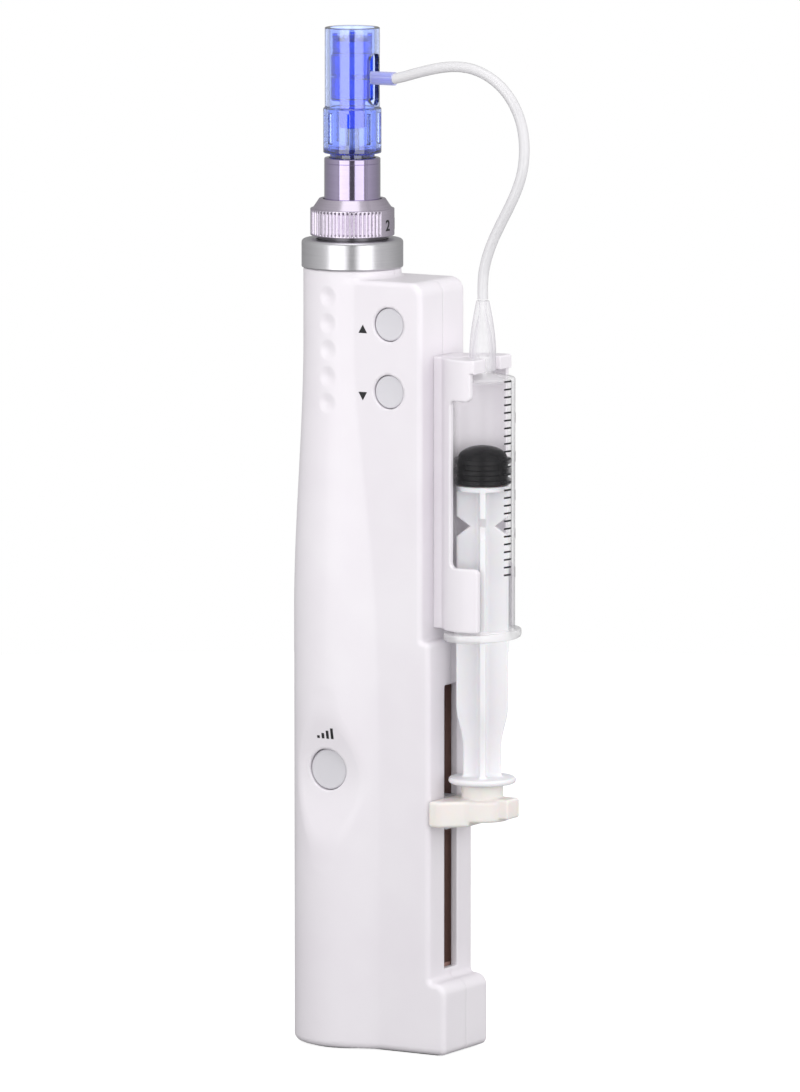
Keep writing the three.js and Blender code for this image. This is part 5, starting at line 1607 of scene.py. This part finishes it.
def wired(tree, kind, inputs, output=0, **settings):
    """An output of a new node, whose inputs are given as values or as other nodes' outputs."""
    node = tree.nodes.new(kind)
    for name, value in settings.items():
        setattr(node, name, value)
    for socket, value in inputs.items():
        if isinstance(value, bpy.types.NodeSocket):
            tree.links.new(value, node.inputs[socket])
        else:
            node.inputs[socket].default_value = value
    return node.outputs[output]


def combined(tree, operation, first, second):
    return wired(tree, "ShaderNodeMath", {0: first, 1: second}, operation=operation)


def srgb(red, green, blue):
    """Linear colour of an 8-bit one."""
    shares = [value / 255 for value in (red, green, blue)]
    return [s / 12.92 if s <= 0.04045 else ((s + 0.055) / 1.055) ** 2.4 for s in shares]


def opaque(colour):
    return colour if isinstance(colour, bpy.types.NodeSocket) else (*colour, 1)


class Finish:
    """A Principled material whose colour, roughness and relief follow noise in the object's own space."""

    def __init__(self, name, slot, **sockets):
        self.material = bpy.data.materials.new(name)
        self.material.use_nodes = True
        self.tree = self.material.node_tree
        self.shader = self.tree.nodes["Principled BSDF"]
        self.place = self.tree.nodes.new("ShaderNodeTexCoord").outputs["Object"]
        for socket, value in sockets.items():
            self.shader.inputs[socket.replace("_", " ")].default_value = value

    def noise(self, scale, detail=2.0, stretch=(1, 1, 1)):
        place = wired(self.tree, "ShaderNodeMapping", {"Vector": self.place, "Scale": stretch})
        return wired(self.tree, "ShaderNodeTexNoise", {"Vector": place, "Scale": scale, "Detail": detail})

    def spread(self, value, least, most, start=0.3, end=0.7):
        """The value's range from start to end, moved to least and most."""
        return wired(self.tree, "ShaderNodeMapRange", {0: value, 1: start, 2: end, 3: least, 4: most})

    def mixed(self, share, first, second):
        """A colour that goes from first to second as the share goes from 0 to 1."""
        colours = {0: share, 6: opaque(first), 7: opaque(second)}
        return wired(self.tree, "ShaderNodeMix", colours, 2, data_type="RGBA")

    def between(self, value, light, dark):
        return self.mixed(self.spread(value, 0, 1), dark, light)

    def height(self):
        """The height on the object, in metres."""
        return wired(self.tree, "ShaderNodeSeparateXYZ", {0: self.place}, 2)

    def edge(self):
        """How far the surface turns away from the eye."""
        return wired(self.tree, "ShaderNodeLayerWeight", {"Blend": EDGE_BLEND}, "Facing")

    def larger(self, first, second):
        return combined(self.tree, "MAXIMUM", first, second)

    def relief(self, *layers):
        """Bumps of (height, distance) layers, one over the other."""
        inputs = {}
        for value, distance in layers:
            inputs.update(Height=value, Distance=distance)
            inputs["Normal"] = wired(self.tree, "ShaderNodeBump", inputs)
        self.put("Normal", inputs["Normal"])

    def put(self, socket, value):
        self.tree.links.new(value, self.shader.inputs[socket])

    def gloss(self, roughness, give, value=None):
        value = value or self.noise(GLOSS_GRAIN)
        self.put("Roughness", self.spread(value, roughness - give, roughness + give))


def plastic(name, light, dark, roughness, grain, relief=RELIEF, slot=None, **sockets):
    """Moulded plastic: two near colours, a soft mould grain and a faint unevenness."""
    made = Finish(name, slot, **sockets)
    fine = made.noise(grain, detail=3)
    made.put("Base Color", made.between(made.noise(CLOUD_GRAIN), light, dark))
    made.gloss(roughness, PLASTIC_GIVE, fine)
    made.relief((made.noise(SWELL_GRAIN, detail=1), relief * 3), (fine, relief))
    return made.material


def turned_metal(name, light, dark, roughness, stretch, grain, relief, slot=None, **sockets):
    """Metal with fine marks of the lathe or the brush."""
    made = Finish(name, slot, Metallic=1, **sockets)
    marks = made.noise(grain, 4, stretch)
    made.put("Base Color", made.between(marks, light, dark))
    made.gloss(roughness, roughness * METAL_GIVE_SHARE, marks)
    made.relief((marks, relief))
    return made.material


def milky(name, light, dark, solid_share, roughness, slot):
    """Half-clear plastic that thickens to its milky colour at its edges."""
    made = Finish(name, slot)
    made.put("Base Color", made.between(made.noise(MILK_GRAIN), light, dark))
    made.gloss(roughness, roughness * MILKY_GIVE_SHARE)
    made.put("Alpha", made.spread(made.edge(), solid_share, 1, 0, 0.9))
    return made.material


def barrel_plastic():
    """Clear plastic with a grey edge, frosted at the flange and the shoulder."""
    made = Finish("barrel plastic", "clear_plastic", Coat_Weight=1, Coat_Roughness=0.06)
    frost = made.larger(*[made.spread(made.height(), 0, 1, *heights) for heights in BARREL_FROST])
    share = made.spread(made.edge(), 0.012, 0.9, 0.3, 1)
    share = made.larger(share, made.spread(frost, 0, 0.5, 0, 1))
    grey = made.between(made.noise(MILK_GRAIN), (0.72, 0.705, 0.73), (0.66, 0.645, 0.67))
    made.put("Base Color", made.mixed(frost, grey, (0.93, 0.92, 0.94)))
    made.gloss(0.12, 0.02)
    made.put("Alpha", share)
    return made.material


def cartridge_clear():
    """Clear blue plastic whose lowest rim, where the plastic is thick, is painted dark navy as shade."""
    made = Finish(
        "cartridge blue", "blue_clear_plastic",
        Transmission_Weight=1, IOR=1.4, Coat_Weight=1, Coat_Roughness=0.06, Coat_IOR=2.1,
    )
    flow = made.noise(150, stretch=(1, 1, 0.25))
    pale = made.between(flow, (0.57, 0.66, 0.97), (0.5, 0.59, 0.95))
    fingers = made.spread(made.height(), 1, 0, FINGER_TOP - FULL, FINGER_TOP + FULL)
    # painted shade: below BAND_TOP, where the plastic is thick, the colour turns dark navy
    thick_rim_shade = made.spread(made.height(), 1, 0, BAND_TOP - CRISP, BAND_TOP + CRISP)
    lower = made.mixed(fingers, pale, (0.36, 0.46, 0.92))
    made.put("Base Color", made.mixed(thick_rim_shade, lower, (0.04, 0.065, 0.4)))
    made.gloss(0.05, 0.02)
    made.relief((flow, 0.02 * MM))
    return made.material


def block_clear():
    """Clear plastic of a deep blue, with a faint flow of the mould."""
    made = Finish("block plastic", "blue_clear_plastic", Transmission_Weight=1, IOR=1.35)
    flow = made.noise(120, stretch=(1, 1, 0.3))
    made.put("Base Color", made.between(flow, (0.02, 0.14, 0.86), (0.012, 0.09, 0.8)))
    made.gloss(0.1, 0.03)
    made.relief((flow, 0.01 * MM))
    return made.material


# Materials

PEARL = plastic(
    "pearl plastic", srgb(241, 237, 242), srgb(237, 232, 238), 0.33, 1900, 0.0022 * MM,
    Coat_Weight=0.2, Coat_Roughness=0.16, Specular_IOR_Level=0.35,
)
KEYS = plastic("button plastic", srgb(221, 219, 224), srgb(215, 213, 219), 0.4, 2200)
CARRIAGE_GREY = plastic(
    "carriage plastic", srgb(206, 206, 211), srgb(198, 198, 204), 0.42, 2000, slot="button_plastic",
)
CREAM = plastic(
    "cream plastic", srgb(246, 241, 238), srgb(240, 234, 230), 0.38, 1700,
    Subsurface_Weight=0.25, Subsurface_Scale=3 * MM,
)
WHITE = plastic(
    "white plastic", srgb(243, 242, 245), srgb(237, 236, 240), 0.36, 1800,
    Subsurface_Weight=0.15, Subsurface_Scale=2 * MM,
)
RUBBER = plastic(
    "black rubber", (0.003, 0.003, 0.004), (0.006, 0.006, 0.007), 0.22, 1500, Specular_IOR_Level=0.16,
)
INK = plastic(
    "black ink", (0.012, 0.012, 0.014), (0.02, 0.02, 0.023), 0.5, 2600, 0.001 * MM, "black_rubber",
)
PAD = plastic("grey rubber", (0.13, 0.13, 0.135), (0.1, 0.1, 0.105), 0.65, 1400, 0.008 * MM)
BROWN = plastic("brown plastic", srgb(165, 132, 124), srgb(150, 118, 110), 0.45, 1700, 0.004 * MM)
BOARD = plastic("circuit board", (0.02, 0.13, 0.05), (0.014, 0.1, 0.04), 0.4, 900, 0.006 * MM)
FILM = plastic("cell film", (0.04, 0.12, 0.42), (0.03, 0.09, 0.34), 0.32, 700, 0.004 * MM)
LEAD = plastic("lead wire", (0.42, 0.02, 0.016), (0.34, 0.015, 0.012), 0.42, 1300)
HOSE = plastic(
    "hose plastic", (0.76, 0.75, 0.77), (0.72, 0.71, 0.73), 0.22, 1200, 0.001 * MM, "clear_hose",
    Coat_Weight=0.5, Coat_Roughness=0.08,
)
SATIN = turned_metal(
    "satin aluminium", (0.84, 0.83, 0.86), (0.78, 0.77, 0.8), 0.3, (1, 1, 40), 90, 0.00005 * MM,
)
# painted shade: the neck shows only in the thin gap under the depth ring, so its metal is coloured near
# black to paint the shade in that gap
NECK_GAP_SHADE_METAL = turned_metal(
    "neck aluminium painted gap shade", (0.2, 0.19, 0.21), (0.15, 0.14, 0.16), 0.3, (1, 1, 12), 260, 0.0005 * MM,
    "satin_aluminium",
)
LILAC = turned_metal(
    "lilac aluminium", (0.53, 0.45, 0.68), (0.49, 0.41, 0.63), 0.12, (1, 1, 40), 90, 0.00005 * MM,
    Coat_Weight=1, Coat_Roughness=0.05, Coat_IOR=1.75,
)
RIBBED_LILAC = turned_metal(
    "ribbed lilac aluminium", (0.76, 0.69, 0.81), (0.71, 0.64, 0.76), 0.22, (1, 1, 40), 90, 0.00002 * MM,
    "lilac_aluminium",
)
STEEL = turned_metal("steel", (0.6, 0.59, 0.58), (0.5, 0.49, 0.48), 0.24, (1, 1, 12), 260, 0.001 * MM)
BRASS = turned_metal("brass", (0.72, 0.52, 0.2), (0.62, 0.43, 0.15), 0.26, (1, 1, 12), 260, 0.001 * MM)
BARREL = barrel_plastic()
HUB = milky("hub plastic", (0.76, 0.74, 0.78), (0.68, 0.66, 0.7), 0.14, 0.2, "clear_plastic")
FITTING = milky(
    "fitting plastic", (0.5, 0.52, 0.88), (0.44, 0.46, 0.85), 0.3, 0.2, "blue_clear_plastic",
)
CARTRIDGE = cartridge_clear()
BLOCK = block_clear()
SEE_THROUGH = {BARREL, HUB, FITTING, CARTRIDGE, BLOCK}


# Every piece, its finish and the node it stands for

def dress(made, material, *stands_for, body=None):
    made.data.materials.append(material)
    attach(made, body or nodes[stands_for[0]]["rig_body"])
    if stands_for:
        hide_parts(*stands_for)
    made.visible_shadow = material not in SEE_THROUGH
    made.visible_diffuse = material not in SEE_THROUGH


hose = delivery_hose()
hose.data.materials.append(HOSE)
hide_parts("delivery_hose")
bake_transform(hose)
hose.visible_shadow = False

spring = return_spring()
spring.data.materials.append(STEEL)
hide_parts("return_spring")
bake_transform(spring)

LEAD_BORE = LEAD_RADIUS + FIT
FIELD_PIECES = (
    ("foot_rubber", foot_pad, "foot_pad", PAD_CELL, PAD),
    ("cartridge_case", cartridge, "cartridge_shell", CLEAR_CELL, CARTRIDGE),
    ("plunger", plunger, "plunger_rod", PLUNGER_CELL, WHITE),
    ("cradle", cradle, "syringe_cradle", CRADLE_CELL, PEARL),
    ("pusher", pusher, "pusher_arm", PUSHER_CELL, CREAM),
    ("carriage", carriage, "slide_carriage", PUSHER_CELL, CARRIAGE_GREY),
    ("lead_screw_turned", lead_screw, "lead_screw", SMALL_CELL, STEEL),
    ("cam", drive_cam, "drive_cam", PUSH_CELL, WHITE),
    ("rod_turned", push_rod, "push_rod", PUSH_CELL, STEEL),
    ("channel", guide_channel, "guide_channel", PUSHER_CELL, BROWN),
    ("gearbox", gearbox, "drive_gearbox", PUSHER_CELL, BRASS),
    ("feed_motor", drive_motor, "drive_motor", PUSHER_CELL, STEEL),
    ("socket", charging_socket, "charging_socket", SMALL_CELL, STEEL),
)
TURNED_PIECES = (
    ("motor_shaft_turned", "motor_shaft", 0, STEEL),
    ("drive_shaft", "gearbox_shaft", 0, STEEL),
    ("nut_turned", "drive_nut", LEAD_BORE, BRASS),
    ("coupling_turned", "screw_coupling", LEAD_BORE, BRASS),
)

for name, field, node, cell, finish in FIELD_PIECES:
    dress(field_piece(name, field, node, cell), finish, node)
for name, node, bore, finish in TURNED_PIECES:
    dress(turned(name, node, bore), finish, node)
for name, node, side in (("front_half", "front_shell", -1), ("rear_half", "rear_shell", 1)):
    dress(housing_half(name, side), PEARL, node)
for place in ("lower", "middle", "upper"):
    node = f"shell_screw_{place}"
    dress(cross_head_screw(f"housing_screw_{place}", node, 1), STEEL, node)
for place in ("lower", "upper"):
    node = f"cradle_screw_{place}"
    dress(cross_head_screw(f"clamp_screw_{place}", node, 0), STEEL, node)
for place, radius in zip(("up", "down", "speed"), BUTTON_RADII):
    node = f"{place}_button"
    dress(push_button(f"{place}_key_cap", node, radius), KEYS, node)
for place in ("lower", "upper"):
    node = f"screw_bearing_{place}"
    wall = high("lead_screw").y - LEAD_BORE
    dress(flanged_bush(f"bearing_{place}", node, LEAD_BORE, wall, BEARING_FLANGE), BRASS, node)
bush = flanged_bush("bush_turned", "rod_bush", PUSH_SHAFT + FIT, BUSH_WALL, BUSH_FLANGE, flange_below=True)
dress(bush, BRASS, "rod_bush")

block_start, block_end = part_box("needle_block")
block_start.x = block_start.y = -BLOCK_WIDE_RADIUS
block_end.y = BLOCK_WIDE_RADIUS
block_end.z = LUG_TOP
carrier = solid("needle_carrier", needle_block, block_start, block_end, BLOCK_CELL)
dress(carrier, BLOCK, "needle_block")

# the neck wears the near-black metal that paints the shade in the gap under the depth ring
dress(neck_tube(), NECK_GAP_SHADE_METAL, "neck_tube")
dress(collar(), SATIN, "collar_ring")
dress(depth_ring(), RIBBED_LILAC, "depth_ring")
dress(nose_sleeve(), LILAC, "nose_sleeve")
dress(needle_plate(), STEEL, "needle_plate")
dress(hose_fitting(), FITTING, body="needle_unit")
dress(syringe_barrel(), BARREL, "syringe_barrel")
dress(stopper(), RUBBER, "rubber_stopper")
dress(luer_hub(), HUB, "luer_hub")
dress(needle_motor(), STEEL, "needle_motor")
dress(battery_cell(), FILM, "battery_cell")

KEPT_EDGE = 0.1 * MM
KEPT = {
    BOARD: ("button_board", "control_board", "charging_board"),
    STEEL: ("up_switch", "down_switch", "speed_switch"),
    LEAD: ("battery_lead", "motor_lead", "button_lead"),
}
for finish, names in KEPT.items():
    for name in names:
        kept = nodes[name]
        kept.data.materials.clear()
        kept.data.materials.append(finish)
        bevel = kept.modifiers.new("edges", "BEVEL")
        bevel.width = KEPT_EDGE
        bevel.segments = 2
        bevel.limit_method = "ANGLE"

dress(dial_marks(), INK, body="depth_dial")
for made in (
    barrel_marks(), level_marks(),
    arrow("up_arrow", "up_button", 1), arrow("down_arrow", "down_button", -1),
):
    dress(made, INK, body="pen_body")


# Floor, world and lamps

FLOOR_RADIUS = 0.6
FLOOR_SIDES = 96
FLOOR_GLOW = 0.88
FLOOR_COLOUR = 0.35
AMBIENT = 0.82
GLOSS_IN_CLEAR = 0.8
REFLECTED_STOPS = [(0, 0.3), (0.2, 0.36), (0.5, 0.5), (0.72, 0.62), (0.88, 0.2), (1, 0.12)]
LAMP_AIM = Vector((0, 0, 0.14))


def seen(tree):
    """1 for rays straight from the camera or on through clear pieces alone, else 0."""
    ray = tree.nodes.new("ShaderNodeLightPath").outputs
    turned_away = combined(tree, "ADD", ray["Diffuse Depth"], ray["Glossy Depth"])
    straight = combined(tree, "GREATER_THAN", ray["Is Transmission Ray"], turned_away)
    return combined(tree, "MAXIMUM", ray["Is Camera Ray"], straight)


def blended(tree, share, first, second):
    """first where the share is 0 and second where it is 1."""
    return wired(tree, "ShaderNodeMapRange", {"Value": share, "To Min": first, "To Max": second})


def make_floor():
    rim = [2 * math.pi * i / FLOOR_SIDES for i in range(FLOOR_SIDES)]
    points = [(FLOOR_RADIUS * math.cos(a), FLOOR_RADIUS * math.sin(a), 0) for a in rim]
    floor = mesh_object("floor", points, [list(range(FLOOR_SIDES))])
    material = bpy.data.materials.new("floor")
    material.use_nodes = True
    tree = material.node_tree
    tree.nodes.clear()
    paint = wired(tree, "ShaderNodeBsdfDiffuse", {"Color": (*[FLOOR_COLOUR] * 3, 1)})
    strength = blended(tree, seen(tree), 0, FLOOR_GLOW)
    glow = wired(tree, "ShaderNodeEmission", {"Color": (1, 1, 1, 1), "Strength": strength})
    total = wired(tree, "ShaderNodeAddShader", {0: paint, 1: glow})
    result = tree.nodes.new("ShaderNodeOutputMaterial")
    tree.links.new(total, result.inputs["Surface"])
    floor.data.materials.append(material)


def surroundings(tree):
    """What gloss shows of the studio: pale at the sides, dimmer in front and behind."""
    place = tree.nodes.new("ShaderNodeTexCoord").outputs["Generated"]
    ahead = towards(CAMERA_AZIMUTH)
    facing = wired(tree, "ShaderNodeVectorMath", {0: place, 1: ahead}, "Value", operation="DOT_PRODUCT")
    half = wired(tree, "ShaderNodeMapRange", {"From Min": -1, "Value": facing})
    ramp = tree.nodes.new("ShaderNodeValToRGB")
    stops = ramp.color_ramp.elements
    while len(stops) < len(REFLECTED_STOPS):
        stops.new(0.5)
    for stop, (share, light) in zip(stops, REFLECTED_STOPS):
        stop.position = share
        stop.color = (light, light, light, 1)
    tree.links.new(half, ramp.inputs["Fac"])
    return ramp.outputs["Color"]


def make_world():
    world = bpy.data.worlds.new("studio")
    world.use_nodes = True
    tree = world.node_tree
    background = tree.nodes["Background"]
    background.inputs["Color"].default_value = (1, 1, 1, 1)
    ray = tree.nodes.new("ShaderNodeLightPath").outputs
    gloss = blended(tree, ray["Transmission Depth"], surroundings(tree), GLOSS_IN_CLEAR)
    light = blended(tree, ray["Glossy Depth"], AMBIENT, gloss)
    tree.links.new(blended(tree, seen(tree), light, 1), background.inputs["Strength"])
    bpy.context.scene.world = world


def area_lamp(name, turn, elevation, distance, width, height, radiance, in_gloss):
    """A soft box that faces the aim; turn is its azimuth from the camera's, to the right."""
    away = towards(CAMERA_AZIMUTH + math.radians(turn), math.radians(elevation))
    lamp = bpy.data.lights.new(name, "AREA")
    lamp.shape = "RECTANGLE"
    lamp.size = width
    lamp.size_y = height
    lamp.energy = radiance * math.pi * width * height
    made = bpy.data.objects.new(name, lamp)
    made.location = LAMP_AIM + away * distance
    made.rotation_euler = away.to_track_quat("Z", "Y").to_euler()
    made.visible_glossy = in_gloss
    bpy.context.scene.collection.objects.link(made)


make_floor()
make_world()
area_lamp("left_box", -33, 0, 1, 0.77, 0.9, 1.62, in_gloss=True)
area_lamp("right_box", 29.5, 0, 1, 0.7, 0.9, 1.5, in_gloss=True)
area_lamp("side_box", 78, 0, 1, 0.8, 1.3, 0.9, in_gloss=False)
area_lamp("back_box", 180, 20, 1, 1, 1, 0.7, in_gloss=False)
area_lamp("top_box", -10, 72, 1.1, 0.8, 0.8, 0.8, in_gloss=True)

bpy.context.scene.view_settings.view_transform = "Standard"
